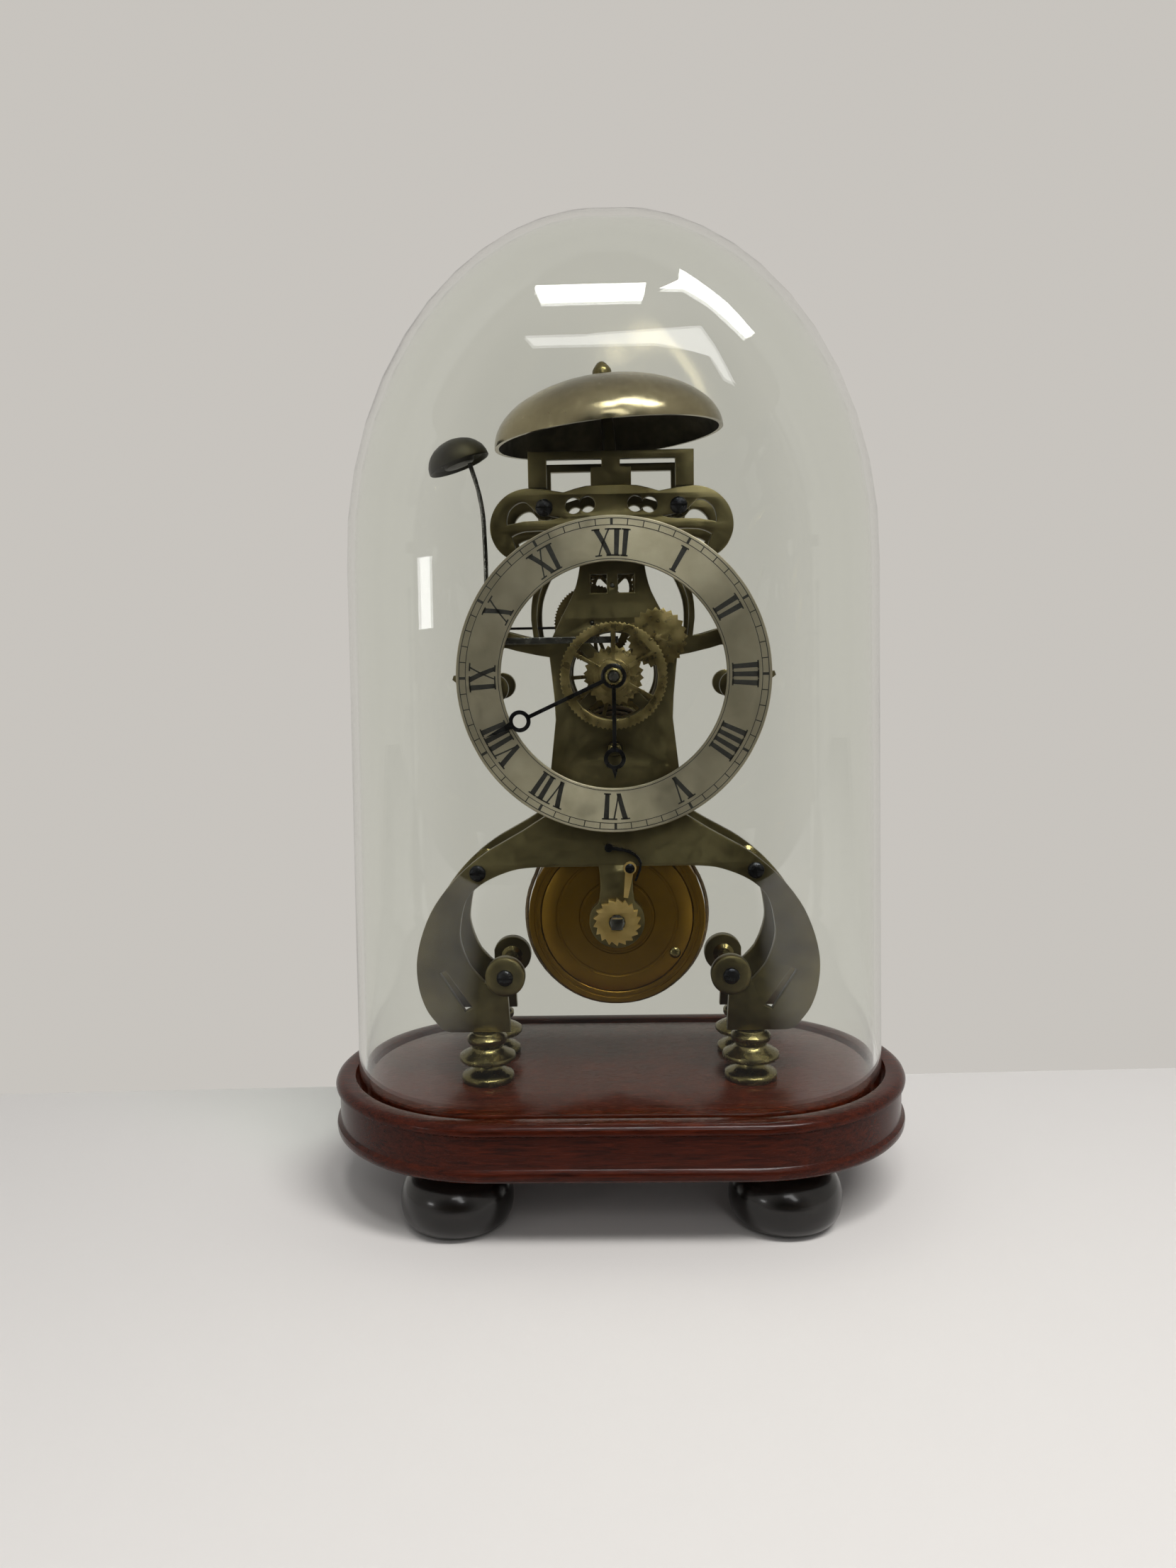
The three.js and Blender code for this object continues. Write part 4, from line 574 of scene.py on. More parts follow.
def slanting(foot, top, half_width):
    """A straight stroke from its foot to its top, both given across the numeral."""
    return [(foot - half_width, NUMERAL_LOW), (foot + half_width, NUMERAL_LOW),
            (top + half_width, NUMERAL_HIGH), (top - half_width, NUMERAL_HIGH)]


def numeral_strokes(letters):
    """The strokes of a numeral and its serifs, which reach a little to either side of each foot."""
    left = -sum(LETTER_WIDTH[letter] for letter in letters) / 2
    strokes = []
    for letter in letters:
        middle = left + LETTER_WIDTH[letter] / 2
        half = LETTER_WIDTH[letter] / 2 - SIDE_GAP
        if letter == "I":
            strokes.append(slanting(middle, middle, THICK / 2))
            feet = [(middle, NUMERAL_LOW, 1.5), (middle, NUMERAL_HIGH - SERIF, 1.5)]
        elif letter == "V":
            strokes.append(slanting(middle + 0.2, middle - half + 0.3, THICK / 2))
            strokes.append(slanting(middle + 0.3, middle + half, THIN / 2))
            feet = [(middle - half + 0.3, NUMERAL_HIGH - SERIF, 1.6),
                    (middle + half, NUMERAL_HIGH - SERIF, 1.2)]
        else:
            strokes.append(slanting(middle + half, middle - half, THICK / 2))
            strokes.append(slanting(middle - half, middle + half, THIN / 2))
            feet = [(x, z, 1.4) for x in (middle - half, middle + half)
                    for z in (NUMERAL_LOW, NUMERAL_HIGH - SERIF)]
        for x, z, reach in feet:
            strokes.append([(x - reach, z), (x + reach, z),
                            (x + reach, z + SERIF), (x - reach, z + SERIF)])
        left += LETTER_WIDTH[letter]
    return strokes


TRACK_IN, TRACK_MIDDLE, TRACK_OUT = 56.5, 57, 58.7
HOUR_MARK_HALF, MINUTE_MARK_HALF = 0.5, 0.18
CIRCLES, CIRCLE_STEPS = [(43.9, 0.25), (56.4, 0.25), (58.8, 0.3)], 180
HOURS = ("XII", "I", "II", "III", "IIII", "V", "VI", "VII", "VIII", "IX", "X", "XI")
corners, quads = [], []
for hour, letters in enumerate(HOURS):
    for stroke in numeral_strokes(letters):
        first = len(corners)
        corners += stroke_strip(stroke, hour * math.pi / 6)
        for k in range(first, first + 2 * STROKE_STEPS, 2):
            quads.append((k, k + 1, k + 3, k + 2))
for minute in range(60):
    half = MINUTE_MARK_HALF if minute % 5 else HOUR_MARK_HALF
    first = len(corners)
    for radius, side in ((TRACK_IN, -half), (TRACK_IN, half), (TRACK_OUT, half), (TRACK_OUT, -half)):
        corners.append(on_dial(radius, minute * math.pi / 30 + side / TRACK_MIDDLE))
    quads.append((first, first + 1, first + 2, first + 3))
for radius, width in CIRCLES:
    first, count = len(corners), 2 * CIRCLE_STEPS
    for k in range(CIRCLE_STEPS):
        for edge in (radius - width / 2, radius + width / 2):
            corners.append(on_dial(edge, 2 * k * math.pi / CIRCLE_STEPS))
    for k in range(0, count, 2):
        quads.append((first + k, first + (k + 2) % count, first + (k + 3) % count, first + k + 1))


def from_points(name, points, faces):
    """A mesh drawn point by point, left open for editing with everything selected."""
    drawn = bpy.data.meshes.new(name)
    drawn.from_pydata(points, [], faces)
    piece = in_scene(name, drawn)
    bpy.ops.object.mode_set(mode="EDIT")
    bpy.ops.mesh.select_all(action="SELECT")
    return piece


engraving = from_points("dial_engraving", corners, quads)
bpy.ops.mesh.extrude_region_move(TRANSFORM_OT_translate={"value": (0, 2 * WAX_PROUD * MM, 0)})
faces_outwards()
finished(engraving, "frame", wax, "silvered")

POST_RINGS = [(2.0, 0), (2.0, 0.6), (1.5, 1.1), (1.4, 3.7), (1.5, 6.4), (2.0, 6.9), (2.0, 7.5)]
for row, (half_x, z) in {"upper": (46.35, 207.5), "lower": (20.15, 165.02)}.items():
    for side, sign in (("left", -1), ("right", 1)):
        post = turned_piece(f"dial_post_{row}_{side}_turned", POST_RINGS, 28)
        along_y(post, sign * half_x, DIAL_FRONT + 2, z, 1)
        finished(post, "frame", turned_brass, "brass", f"dial_post_{row}_{side}")

# Hands: filed from thin steel and blued nearly black, each with an open ring near its point,
# held by a round brass nut in front.
HAND_NUT_FRONT = -34
HAND_NUT_RINGS = [(2.35, 2.5), (3.3, 2.5), (3.4, 2.3), (3.4, 0.9), (3.2, 0.45), (2.75, 0.1), (2.35, 0)]


def sawn_to_node(name, node, edge, corner, close):
    """A flat piece that is sawn to its node's outline and is as thick as the node."""
    front, back = (point[1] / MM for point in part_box(node))
    return sawn_piece(name, node, back, front, back, edge, corner, close)


for node, body in (("minute_hand", "centre"), ("hour_hand", "hour")):
    hand = sawn_to_node(f"{node}_blued", node, 0.18, 58, 0.1)
    finished(hand, body, blue_steel, "steel", node)
hand_nut = turned_piece("hand_nut_turned", HAND_NUT_RINGS, 40, bored=True)
along_y(hand_nut, 0, HAND_NUT_FRONT, DIAL_CENTRE, 1)
finished(hand_nut, "centre", turned_brass, "brass", "hand_nut")

# Train and motion work: wheels of sawn brass with thin crossings, on polished steel arbors that
# run in the plates. The pallets and the crutch are steel too.
wheel_brass = metal("wheel_brass", (0.16, 0.12, 0.045), (0.36, 0.28, 0.12), 0.24, 0.38, 140.0)
polished_steel = metal("polished_steel", (0.09, 0.088, 0.08), (0.20, 0.195, 0.18), 0.18, 0.34, 150.0)
for node, body in (("great_wheel", "fusee"), ("centre_wheel", "centre"), ("third_wheel", "third"),
                   ("escape_wheel", "escape")):
    wheel = sawn_to_node(f"{node}_cut", node, 0.12, 40, 0.12)
    finished(wheel, body, wheel_brass, "brass", node)


def filed(node, body, finish, slot, edge):
    """A piece worked to the node's own flats, its sharp edges broken with a file."""
    piece = in_scene(f"{node}_filed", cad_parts[node].data.copy())
    piece.data.name = piece.name
    bpy.ops.object.mode_set(mode="EDIT")
    bpy.ops.mesh.select_all(action="SELECT")
    bpy.ops.mesh.remove_doubles(threshold=1e-6)
    bpy.ops.mesh.dissolve_limited(angle_limit=math.radians(1))
    bpy.ops.object.mode_set(mode="OBJECT")
    broken = piece.modifiers.new("broken_edges", "BEVEL")
    broken.width = edge * MM
    broken.segments = 2
    broken.limit_method = "ANGLE"
    broken.angle_limit = math.radians(42)
    bpy.ops.object.modifier_apply(modifier=broken.name)
    bpy.ops.object.shade_smooth_by_angle(angle=math.radians(40))
    finished(piece, body, finish, slot, node)


for node, body in (("cannon_wheel", "centre"), ("hour_wheel", "hour"), ("minute_wheel", "minute_work")):
    filed(node, body, wheel_brass, "brass", 0.1)
for node, body in (("centre_arbor", "centre"), ("third_arbor", "third"), ("escape_arbor", "escape"),
                   ("minute_stud", "frame"), ("pallet_arbor", "pallet"), ("pallets", "pallet")):
    filed(node, body, polished_steel, "steel", 0.08)

# Fusee: a brass cone with a groove cut in a spiral for the line, on its arbor, which ends
# in front in the winding square. The arbor and the square take the cone's brass finish.
CONE_SMALL, CONE_LARGE, CONE_LENGTH, CONE_BORE, CONE_TURNS = 9.0, 16.0, 16.0, 3.0, 4
CONE_STEPS, PLAIN_RIM = 48, 0.3
CONE_Z, BARREL_Z = 183.5, 115
GROOVE_FLOOR, GROOVE_HALF_DEPTH = 0.15, 0.3
LINE_RADIUS, LINE_ON_BARREL, LINE_ON_CONE = 0.8, 36.6, 10.1
LINE_END = CONE_LENGTH / 2 - LINE_RADIUS
LINE_LEAVES = math.pi - math.asin((LINE_ON_BARREL - LINE_ON_CONE) / (CONE_Z - BARREL_Z))


def cone_radius(y):
    """The fusee's hollow curve, which evens out the pull of the spring."""
    share = min(1, max(0, (y + CONE_LENGTH / 2 - LINE_RADIUS) / (CONE_LENGTH - 2 * LINE_RADIUS)))
    return CONE_SMALL * CONE_LARGE / (CONE_LARGE - share * (CONE_LARGE - CONE_SMALL))


heights = [step * CONE_LENGTH / CONE_STEPS for step in range(CONE_STEPS + 1)]
cone_rings = [(cone_radius(height - CONE_LENGTH / 2), height) for height in heights]
cone = turned_piece("fusee_cone", [(CONE_BORE, 0), *cone_rings, (CONE_BORE, CONE_LENGTH)], 96)
for vertex in cone.data.vertices:
    y = vertex.co.z / MM - CONE_LENGTH / 2
    around = math.atan2(-vertex.co.y, vertex.co.x)
    on_cone = math.hypot(vertex.co.x, vertex.co.y) > CONE_SMALL / 2 * MM
    if on_cone and abs(y) < CONE_LENGTH / 2 - PLAIN_RIM:
        turns = CONE_TURNS * (y + LINE_END) / (2 * LINE_END) + (around - LINE_LEAVES) / (2 * math.pi)
        ridge = GROOVE_FLOOR + GROOVE_HALF_DEPTH * (1 - math.cos(2 * math.pi * turns))
        share = (cone_radius(y) + ridge) / cone_radius(y)
        vertex.co.x *= share
        vertex.co.y *= share
along_y(cone, 0, -CONE_LENGTH / 2, CONE_Z, 1)
FUSEE_ARBOR_RINGS = [(2.2, 0), (2.6, 0.4), (2.6, 40.1), (2.3, 40.5)]
arbor = turned_piece("fusee_arbor", FUSEE_ARBOR_RINGS, 32)
along_y(arbor, 0, -21.5, CONE_Z, 1)


def filed_block(centre, size, edge):
    """A block with its edges broken."""
    nothing_selected()
    bpy.ops.mesh.primitive_cube_add(size=1, location=[v * MM for v in centre])
    block = bpy.context.object
    block.dimensions = [v * MM for v in size]
    place_in_mesh(block)
    broken = block.modifiers.new("broken_edges", "BEVEL")
    broken.width, broken.segments = edge * MM, 2
    bpy.ops.object.modifier_apply(modifier=broken.name)
    return block


square = filed_block((0, -24.5, CONE_Z), (3.7, 6, 3.7), 0.3)
finished(joined(cone, arbor, square), "fusee", turned_brass, "brass", "fusee")

# Fusee line: twisted gut in three strands, four turns on the cone, then straight down to the
# barrel and most of a turn round it.
gut, tree, shader = material("twisted_gut", 0.5)
fibres = noise(tree, Scale=900.0, Detail=4.0, Roughness=0.7)
ramp(tree, fibres, [(0.3, (0.055, 0.032, 0.014, 1)), (0.7, (0.17, 0.11, 0.055, 1))],
     shader.inputs["Base Color"])
bump(tree, fibres, shader, 0.3, 0.0001)
STEPS, BARREL_STEPS, SIDES = 60, 42, 12
STRANDS, STRAND_RELIEF, TWIST = 3, 0.07, 1.4


def on_route(angle, radius, y, middle):
    """A point of the line at an angle round an axis along Y, and the angle itself."""
    return radius * math.cos(angle), y, middle + radius * math.sin(angle), angle


route = []
for step in range(BARREL_STEPS + 1):
    back = (BARREL_STEPS - step) / STEPS
    route.append(on_route(LINE_LEAVES + back * 2 * math.pi, LINE_ON_BARREL,
                          -LINE_END + back * 3 * LINE_RADIUS, BARREL_Z))
for step in range(1, STEPS):
    share = step / STEPS
    radius = LINE_ON_BARREL + (LINE_ON_CONE - LINE_ON_BARREL) * share
    route.append(on_route(LINE_LEAVES, radius, -LINE_END, BARREL_Z + (CONE_Z - BARREL_Z) * share))
for step in range(CONE_TURNS * STEPS + 1):
    y = -LINE_END + 2 * LINE_END * step / (CONE_TURNS * STEPS)
    route.append(on_route(LINE_LEAVES - step / STEPS * 2 * math.pi,
                          cone_radius(y) + GROOVE_HALF_DEPTH + LINE_RADIUS, y, CONE_Z))
strand_points, strand_faces, run = [], [], 0.0
for number, (x, y, z, angle) in enumerate(route):
    if number:
        run += math.dist((x, y, z), route[number - 1][:3])
    for k in range(SIDES):
        turn = 2 * k * math.pi / SIDES
        reach = LINE_RADIUS * (1 - STRAND_RELIEF + STRAND_RELIEF * math.cos(STRANDS * turn + run * TWIST))
        out = reach * math.cos(turn)
        strand_points.append(((x + out * math.cos(angle)) * MM, (y + reach * math.sin(turn)) * MM,
                              (z + out * math.sin(angle)) * MM))
        if number:
            here, before, after = SIDES * number, SIDES * (number - 1), (k + 1) % SIDES
            strand_faces.append((before + k, before + after, here + after, here + k))
strand_faces += [tuple(range(SIDES)), tuple(range(SIDES * len(route) - SIDES, SIDES * len(route)))]
line = from_points("fusee_line_twisted", strand_points, strand_faces)
faces_outwards(50)
finished(line, "frame", gut, "gut_line", "fusee_line")

# Barrel: a drum of amber coloured brass, turned all over, with a beaded rim and a cover sprung
# into its front. The mainspring lies inside, on the arbor; a rivet holds the line's hook.
DRUM_RINGS = [
    (30.8, 0.2), (31.0, 0), (32.2, 0), (32.4, 0.35), (33.2, 0.35), (33.4, 0), (35.1, 0), (35.5, 0.4),
    (35.5, 2.6), (35.2, 2.9), (35.2, 21.1), (35.5, 21.4), (35.5, 23.6), (35.1, 24), (3.3, 24), (3.3, 22),
    (33.5, 22), (33.5, 2), (30.8, 2),
]
COVER_RINGS = [
    (3.3, -1.5), (6.2, -1.5), (6.7, -1.1), (6.9, -0.3), (7.7, 0), (14, 0), (14.3, 0.3), (15, 0.3),
    (15.3, 0), (23.4, 0), (23.7, 0.3), (24.4, 0.3), (24.7, 0), (30.1, 0), (30.4, 0.2), (30.5, 0.5),
    (30.5, 1.7), (3.3, 1.7),
]
amber = metal("amber_brass", (0.18, 0.098, 0.013), (0.25, 0.140, 0.023), 0.33, 0.38, 22.0)
grained_round(amber, 0.5)
DRUM_FRONT, COVER_FRONT = -12, -11.7
drum = turned_piece("barrel_drum_turned", DRUM_RINGS, 128, bored=True)
along_y(drum, 0, DRUM_FRONT, BARREL_Z, 1)
finished(drum, "barrel", amber, "amber_brass", "barrel_drum")
cover = turned_piece("barrel_cover_turned", COVER_RINGS, 128, bored=True)
along_y(cover, 0, COVER_FRONT, BARREL_Z, 1)
finished(cover, "barrel", amber, "amber_brass", "barrel_cover")
RIVET_RINGS = [(2.3, 0), (2.3, 0.25), (2.0, 0.7), (1.4, 1.0), (0.4, 1.15)]
rivet = turned_piece("line_hook_rivet", RIVET_RINGS, 28)
along_y(rivet, 23.2, COVER_FRONT, BARREL_Z - 14.8, -1)
finished(rivet, "barrel", turned_brass, "amber_brass")
filed("barrel_arbor", "barrel", polished_steel, "steel", 0.15)
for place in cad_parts["mainspring"].material_slots:
    place.material = blue_steel

# Set-up work: a small brass ratchet on the barrel arbor in front of the plate, with a brass click
# that turns on a screw and a leaf spring of blued steel.
ratchet = sawn_to_node("ratchet_cut", "ratchet_wheel", 0.15, 30, 0.1)
# Ratchet and click: polished brass, made far lighter than the other brass as a painted highlight at the
# barrel's centre.
brass_with_painted_highlight = metal("brass_with_painted_highlight", (0.60, 0.41, 0.14), (0.80, 0.58, 0.23), 0.3, 0.42, 120.0)
finished(ratchet, "barrel", brass_with_painted_highlight, "brass", "ratchet_wheel")
filed("click", "click", brass_with_painted_highlight, "brass", 0.2)
filed("click_spring", "frame", blue_steel, "steel", 0.1)
SMALL_SCREW_RINGS = [(1.9, 0), (1.9, 0.35), (1.7, 0.6), (1.2, 0.85), (0.3, 0.95)]


def small_screw(name, x, y, z, towards, body="frame"):
    screw = turned_piece(name, SMALL_SCREW_RINGS, 24)
    slotted(screw, 0.25, 0.5, 1.9)
    along_y(screw, x, y, z, towards)
    finished(screw, body, blue_steel, "steel")


small_screw("click_screw", 5.3, -21.32, BARREL_Z + 21.5, -1, "click")

# Pendulum: hung from a flat spring in the back cock, with a steel rod, a heavy brass bob turned
# to a lens, and a knurled nut under it. Two screws hold the cock.
BOB_HALF = [
    (0.6, 0), (6, 0.12), (11, 0.6), (15, 1.3), (18.6, 2.15), (21.6, 3.1), (24.0, 4.1), (25.4, 4.9),
    (25.95, 5.5),
]
BOB_RINGS = BOB_HALF + [(26, 6)] + [(r, 12 - h) for r, h in BOB_HALF[::-1]]
ROD_Y, BOB_Z, BOB_HALF_THICK = 30, 110.69, 6
bob = turned_piece("pendulum_bob_turned", BOB_RINGS, 96)
along_y(bob, 0, ROD_Y - BOB_HALF_THICK, BOB_Z, 1)
finished(bob, "pendulum", turned_brass, "brass", "pendulum_bob")
ROD_RINGS = [
    (0.9, 76.7), (1.2, 77.1), (1.2, 245.9), (1.5, 246.2), (2.3, 246.5), (2.4, 246.9), (2.4, 250.3),
    (2.0, 250.8),
]
rod = turned_piece("pendulum_rod_drawn", ROD_RINGS, 24)
place_in_mesh(rod, (0, ROD_Y, 0))
finished(rod, "pendulum", polished_steel, "steel", "pendulum_rod")
KNURL_FROM, KNURL_SHARE = 3.8, 0.93
RATING_RINGS = [(1.5, 80.4), (3.4, 80.4), (3.95, 80.9), (3.95, 83.8), (3.4, 84.35), (1.5, 84.35)]
rating = turned_piece("rating_nut_knurled", RATING_RINGS, 48, bored=True)
for number, vertex in enumerate(rating.data.vertices):
    if math.hypot(vertex.co.x, vertex.co.y) > KNURL_FROM * MM and number % 2:
        vertex.co.x *= KNURL_SHARE
        vertex.co.y *= KNURL_SHARE
place_in_mesh(rating, (0, ROD_Y, 0))
finished(rating, "pendulum", turned_brass, "brass", "rating_nut")
filed("suspension_spring", "pendulum", blue_steel, "steel", 0.05)
filed("back_cock", "frame", aged_brass, "brass", 0.3)
for side, x in (("left", -3.9), ("right", 3.9)):
    small_screw(f"cock_screw_{side}", x, 22.5, 272.6, 1)

# Bell: cast and turned, shallow, hung by its crown on the stand's leaning stud, under a nut. Its
# outside is polished, its inside rough from the mould and painted near black: painted shade.
BELL_TILT, BELL_FOOT, BELL_MOUTH = math.radians(-5), 297.0, 7.2


def bell_side(half_wide, high, *angles):
    """Points on one side of the bell's wall, a quarter of an ellipse above its mouth."""
    return [(half_wide * math.cos(math.radians(a)), BELL_MOUTH + high * math.sin(math.radians(a)))
            for a in angles]


BELL_OUT = bell_side(45, 23.5, 86.4, 80, 74, 68, 62, 56, 50, 44, 38, 32, 26, 20, 14, 9, 5, 2, 0)
BELL_IN = bell_side(43.4, 21.9, 0, 5, 10, 16, 22, 29, 36, 43, 50, 57, 64, 71, 78, 86.3)
MIDDLE_HALF_WIDE, MIDDLE_HIGH = 44.4, 22.8
bell_metal = metal("bell_metal", (0.19, 0.160, 0.098), (0.38, 0.325, 0.205), 0.15, 0.28, 26.0)
# Inside of the bell: rough cast metal painted near black, a painted shade of the bell's hollow.
bell_inside_painted_shade = metal("bell_metal_painted_shade", (0.022, 0.018, 0.010), (0.06, 0.05, 0.03), 0.5, 0.7, 60.0)
bell = turned_piece("bell_cast", BELL_OUT + BELL_IN, 128, bored=True)
inner_side = []
for face in bell.data.polygons:
    radius, height = math.hypot(face.center.x, face.center.y) / MM, face.center.z / MM - BELL_MOUTH
    within = (radius / MIDDLE_HALF_WIDE) ** 2 + (max(0, height) / MIDDLE_HIGH) ** 2 < 1
    inner_side.append(within and height > 0.3)
place_in_mesh(bell, (0, 0, BELL_FOOT), (0, BELL_TILT, 0))
finished(bell, "frame", bell_metal, "bell_metal", "bell")
bell.data.materials.append(bell_inside_painted_shade)
for face, painted_dark in zip(bell.data.polygons, inner_side):
    face.material_index = 1 if painted_dark else 0
BELL_NUT_RINGS = [
    (2.8, 31), (3.6, 31), (3.8, 31.25), (3.8, 33.1), (3.5, 34.0), (2.9, 34.8), (2.2, 35.7), (1.5, 36.4),
    (0.7, 36.85), (0.05, 36.95), (0.05, 36.0), (2.8, 34.2),
]
bell_nut = turned_piece("bell_nut_turned", BELL_NUT_RINGS, 32, bored=True)
place_in_mesh(bell_nut, (0, 0, BELL_FOOT), (0, BELL_TILT, 0))
finished(bell_nut, "frame", turned_brass, "brass", "bell_nut")
filed("bell_stand", "frame", aged_brass, "brass", 0.3)

# Hammer: half a mushroom of bronze, hollowed underneath, on a long curved stem of steel. The
# stem rises from an arbor between the plates, whose tail lies over the strike cam. A leaf spring
# brings it back.
HAMMER_X, HAMMER_Z, HAMMER_RISE = -50.375, 225.36, 78.84
HEAD_RINGS = [
    (5.4, 0), (5.8, 0.1), (6.2, 0.6), (6.7, 2.2), (8.8, 2.7), (10.9, 1.7), (11.7, 0.15), (12.2, 0),
    (12.5, 0.4), (12.45, 1.3), (12.2, 2.8), (11.3, 4.8), (10, 6.5), (8.1, 8.2), (5.6, 9.45),
    (3.0, 10.2), (1.0, 10.48),
]
HEAD_SHARES, HEAD_TILT = (-0.12, 0.885), -20
head_bronze = metal("head_bronze", (0.012, 0.0105, 0.006), (0.036, 0.032, 0.018), 0.38, 0.55, 90.0)
mushroom = turned_piece("hammer_head_turned", HEAD_RINGS, 56)
place_in_mesh(
    mushroom, (HAMMER_X + HEAD_SHARES[0] * HAMMER_RISE, 0, HAMMER_Z + HEAD_SHARES[1] * HAMMER_RISE),
    (0, math.radians(HEAD_TILT), 0))
finished(mushroom, "hammer", head_bronze, "brass", "hammer_head")
STEM_SHARES = [(0, 0), (0, 0.25), (-0.002, 0.5), (-0.016, 0.7), (-0.07, 0.897)]
stem_line = bpy.data.curves.new("hammer_stem", "CURVE")
stem_line.dimensions = "3D"
stem_line.bevel_depth = 0.9 * MM
stem_line.bevel_resolution = 3
stem_line.resolution_u = 12
stem_line.use_fill_caps = True
bend_line = stem_line.splines.new("BEZIER")
bend_line.bezier_points.add(len(STEM_SHARES) - 1)
for point, (x, z) in zip(bend_line.bezier_points, STEM_SHARES):
    point.co = ((HAMMER_X + x * HAMMER_RISE) * MM, 0, (HAMMER_Z + z * HAMMER_RISE) * MM)
    point.handle_left_type = point.handle_right_type = "AUTO"
in_scene("hammer_stem", stem_line)
bpy.ops.object.convert(target="MESH")
stem = bpy.context.object
bpy.ops.object.shade_smooth_by_angle(angle=math.radians(40))
works = [stem]
for name, rings, segments, front in (
        ("hammer_arbor_turned", [(1.2, 0), (1.5, 0.3), (1.5, 43.2), (1.2, 43.5)], 24, -24.5),
        ("hammer_hub", [(2.7, 0), (3, 0.3), (3, 5.7), (2.7, 6)], 32, -3),
        ("hammer_tail_hub", [(2.8, 0), (3, 0.2), (3, 1.0), (2.8, 1.2)], 32, -24.2)):
    works.append(turned_piece(name, rings, segments))
    along_y(works[-1], HAMMER_X, front, HAMMER_Z, 1)
works.append(filed_block((HAMMER_X + 26.2, -23.6, HAMMER_Z + 0.39), (52.3, 1.2, 2.5), 0.2))
finished(joined(*works), "hammer", polished_steel, "steel", "hammer_arbor")
filed("hammer_spring", "frame", blue_steel, "steel", 0.1)

# Table and light: a pale table that ends at a grey wall a hand's breadth behind the base. Two rows
# of ceiling lights, which the crown of the glass mirrors, and a small lamp at the left light it.
# The room in front is dark, so the room is dark where the glass mirrors it; the near table, where the
# glass mirrors it, carries painted shade.
WALL_COLOUR, TABLE_COLOUR = (0.575, 0.55, 0.515, 1), (0.69, 0.66, 0.63, 1)
DARK_ROOM, SHADED_TABLE_PAINT = (0.03, 0.027, 0.022, 1), (0.14, 0.133, 0.125, 1)
WALL_LINE, WALL_TURN = 0.114, -2.2
nothing_selected()
bpy.ops.mesh.primitive_plane_add(size=1, location=(0, 1.1, -0.0003))
table = bpy.context.object
table.name = "table_top"
table.dimensions = (6, 3.8, 0)
place_in_mesh(table)
table_finish, tree, shader = material("pale_table", 0.6)
shader.inputs["Base Color"].default_value = TABLE_COLOUR
shader.inputs["Specular IOR Level"].default_value = 0.2


def maths(tree, operation, *values):
    """A sum on numbers and on the outputs of other nodes."""
    step = tree.nodes.new("ShaderNodeMath")
    step.operation = operation
    for socket, value in zip(step.inputs, values):
        if isinstance(value, (int, float)):
            socket.default_value = value
        else:
            tree.links.new(value, socket)
    return step.outputs["Value"]


def between(tree, source, start, end, at_start=0, at_end=1):
    """Goes evenly from one value to the other while the source goes from start to end."""
    fade = tree.nodes.new("ShaderNodeMapRange")
    limits = {"From Min": start, "From Max": end, "To Min": at_start, "To Max": at_end}
    for limit, value in limits.items():
        fade.inputs[limit].default_value = value
    tree.links.new(source, fade.inputs["Value"])
    return fade.outputs["Result"]


paths = tree.nodes.new("ShaderNodeLightPath").outputs
where = tree.nodes.new("ShaderNodeTexCoord")
askew = tree.nodes.new("ShaderNodeMapping")
askew.inputs["Rotation"].default_value = (0, 0, math.radians(WALL_TURN))
apart = tree.nodes.new("ShaderNodeSeparateXYZ")
tree.links.new(where.outputs["Object"], askew.inputs["Vector"])
tree.links.new(askew.outputs["Vector"], apart.inputs["Vector"])
across, away = apart.outputs["X"], apart.outputs["Y"]
wall_foot = tree.nodes.new("ShaderNodeEmission")
wall_foot.inputs["Color"].default_value = WALL_COLOUR
looked_at = maths(tree, "MAXIMUM", maths(tree, "MAXIMUM", paths["Is Camera Ray"], paths["Is Glossy Ray"]),
                  paths["Is Transmission Ray"])
on_wall = maths(tree, "MULTIPLY", maths(tree, "GREATER_THAN", away, WALL_LINE), looked_at)
table_or_wall = mixed(tree, on_wall, shader.outputs["BSDF"], wall_foot.outputs["Emission"])
# Painted shade on the table: a dark emission, dim grey fading to near black further out, seen only by
# mirrored rays in a strip straight in front.
painted_shade = tree.nodes.new("ShaderNodeEmission")
ramp(tree, between(tree, away, -0.62, -0.30), [(0.0, DARK_ROOM), (1.0, SHADED_TABLE_PAINT)],
     painted_shade.inputs["Color"])
near = maths(tree, "MULTIPLY", between(tree, away, -0.14, -0.20),
             between(tree, maths(tree, "ABSOLUTE", across), 0.14, 0.26, 1, 0))
painted_shade_in_mirrors = maths(tree, "MULTIPLY", near, maths(tree, "GREATER_THAN", paths["Glossy Depth"], 0.5))
table_surface = mixed(tree, painted_shade_in_mirrors, table_or_wall, painted_shade.outputs["Emission"])
tree.links.new(table_surface, tree.nodes["Material Output"].inputs["Surface"])
table.data.materials.append(table_finish)

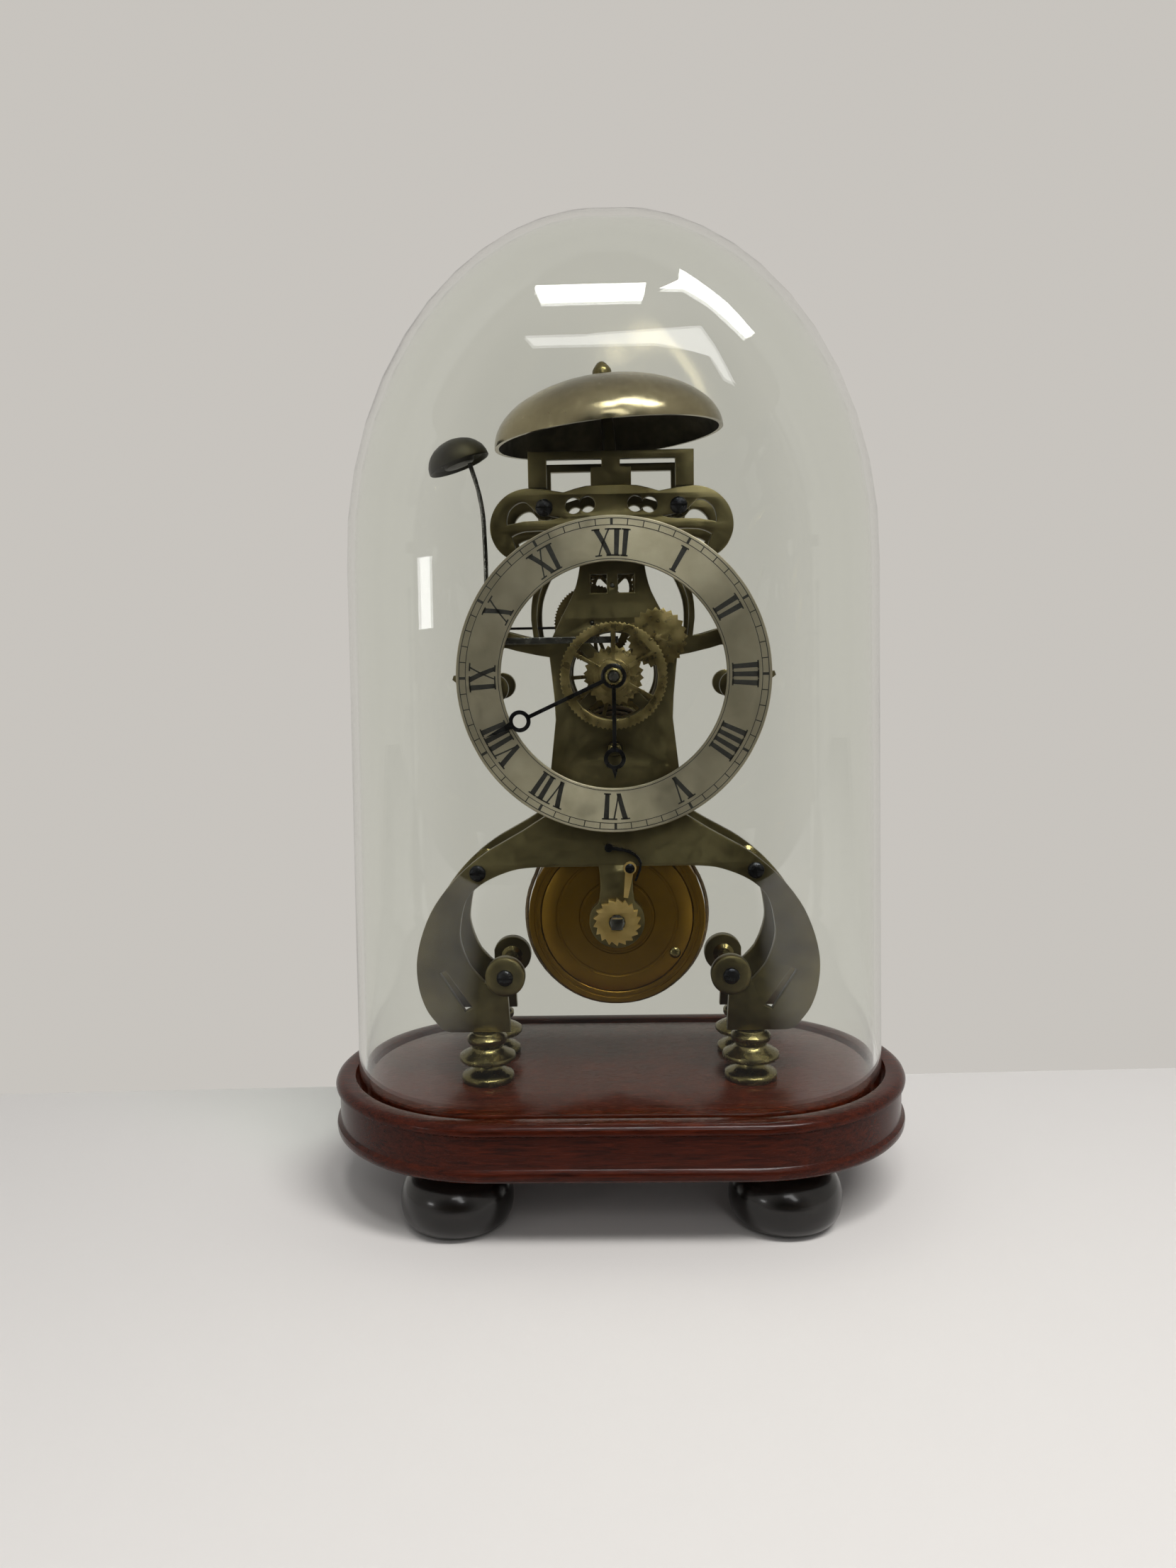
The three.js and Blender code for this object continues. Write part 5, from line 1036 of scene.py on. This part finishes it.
room = bpy.data.worlds.new("room")
bpy.context.scene.world = room
room.use_nodes = True
tree = room.node_tree
paths = tree.nodes.new("ShaderNodeLightPath").outputs
ambient = tree.nodes["Background"]
ambient.inputs["Color"].default_value = (0.96, 0.98, 1.0, 1)
ambient.inputs["Strength"].default_value = 0.31
wall = tree.nodes.new("ShaderNodeBackground")
wall.inputs["Color"].default_value = WALL_COLOUR
mirrored_room = tree.nodes.new("ShaderNodeBackground")
where = tree.nodes.new("ShaderNodeTexCoord")
apart = tree.nodes.new("ShaderNodeSeparateXYZ")
tree.links.new(where.outputs["Generated"], apart.inputs["Vector"])
ramp(tree, between(tree, apart.outputs["Y"], -0.95, -0.35), [(0.0, DARK_ROOM), (0.5, WALL_COLOUR)],
     mirrored_room.inputs["Color"])
straight_through = maths(tree, "MULTIPLY", paths["Is Transmission Ray"],
                         maths(tree, "LESS_THAN", paths["Glossy Depth"], 0.5))
seen = maths(tree, "MAXIMUM", paths["Is Camera Ray"], straight_through)
unseen = mixed(tree, paths["Is Glossy Ray"], ambient.outputs["Background"],
               mirrored_room.outputs["Background"])
all_round = mixed(tree, seen, unseen, wall.outputs["Background"])
tree.links.new(all_round, tree.nodes["World Output"].inputs["Surface"])


def soft_light(name, place, aim, width, height, watts, turned=0):
    lamp = bpy.data.lights.new(name, "AREA")
    lamp.shape = "RECTANGLE"
    lamp.size, lamp.size_y, lamp.energy = width, height, watts
    holder = bpy.data.objects.new(name, lamp)
    holder.location = place
    towards = (Vector(aim) - Vector(place)).to_track_quat("-Z", "Y").to_matrix()
    holder.rotation_euler = (towards @ Matrix.Rotation(math.radians(turned), 3, "Z")).to_euler()
    bpy.context.scene.collection.objects.link(holder)


soft_light("light_ceiling", (-0.034, -0.76, 1.34), (-0.034, -0.76, 0), 0.20, 0.29, 4.5)
soft_light("light_ceiling_right", (0.55, -0.66, 1.34), (0.55, -0.66, 0), 0.87, 0.31, 17, turned=-14)
soft_light("light_far", (-0.05, -1.70, 1.34), (-0.05, -1.70, 0), 0.34, 0.32, 1.6)
soft_light("light_far_right", (0.46, -2.1, 1.34), (0.46, -2.1, 0), 1.5, 0.36, 8, turned=-62)
soft_light("light_left", (-1.04, -0.90, 0.33), (0, 0, 0.24), 0.24, 0.11, 0.6)
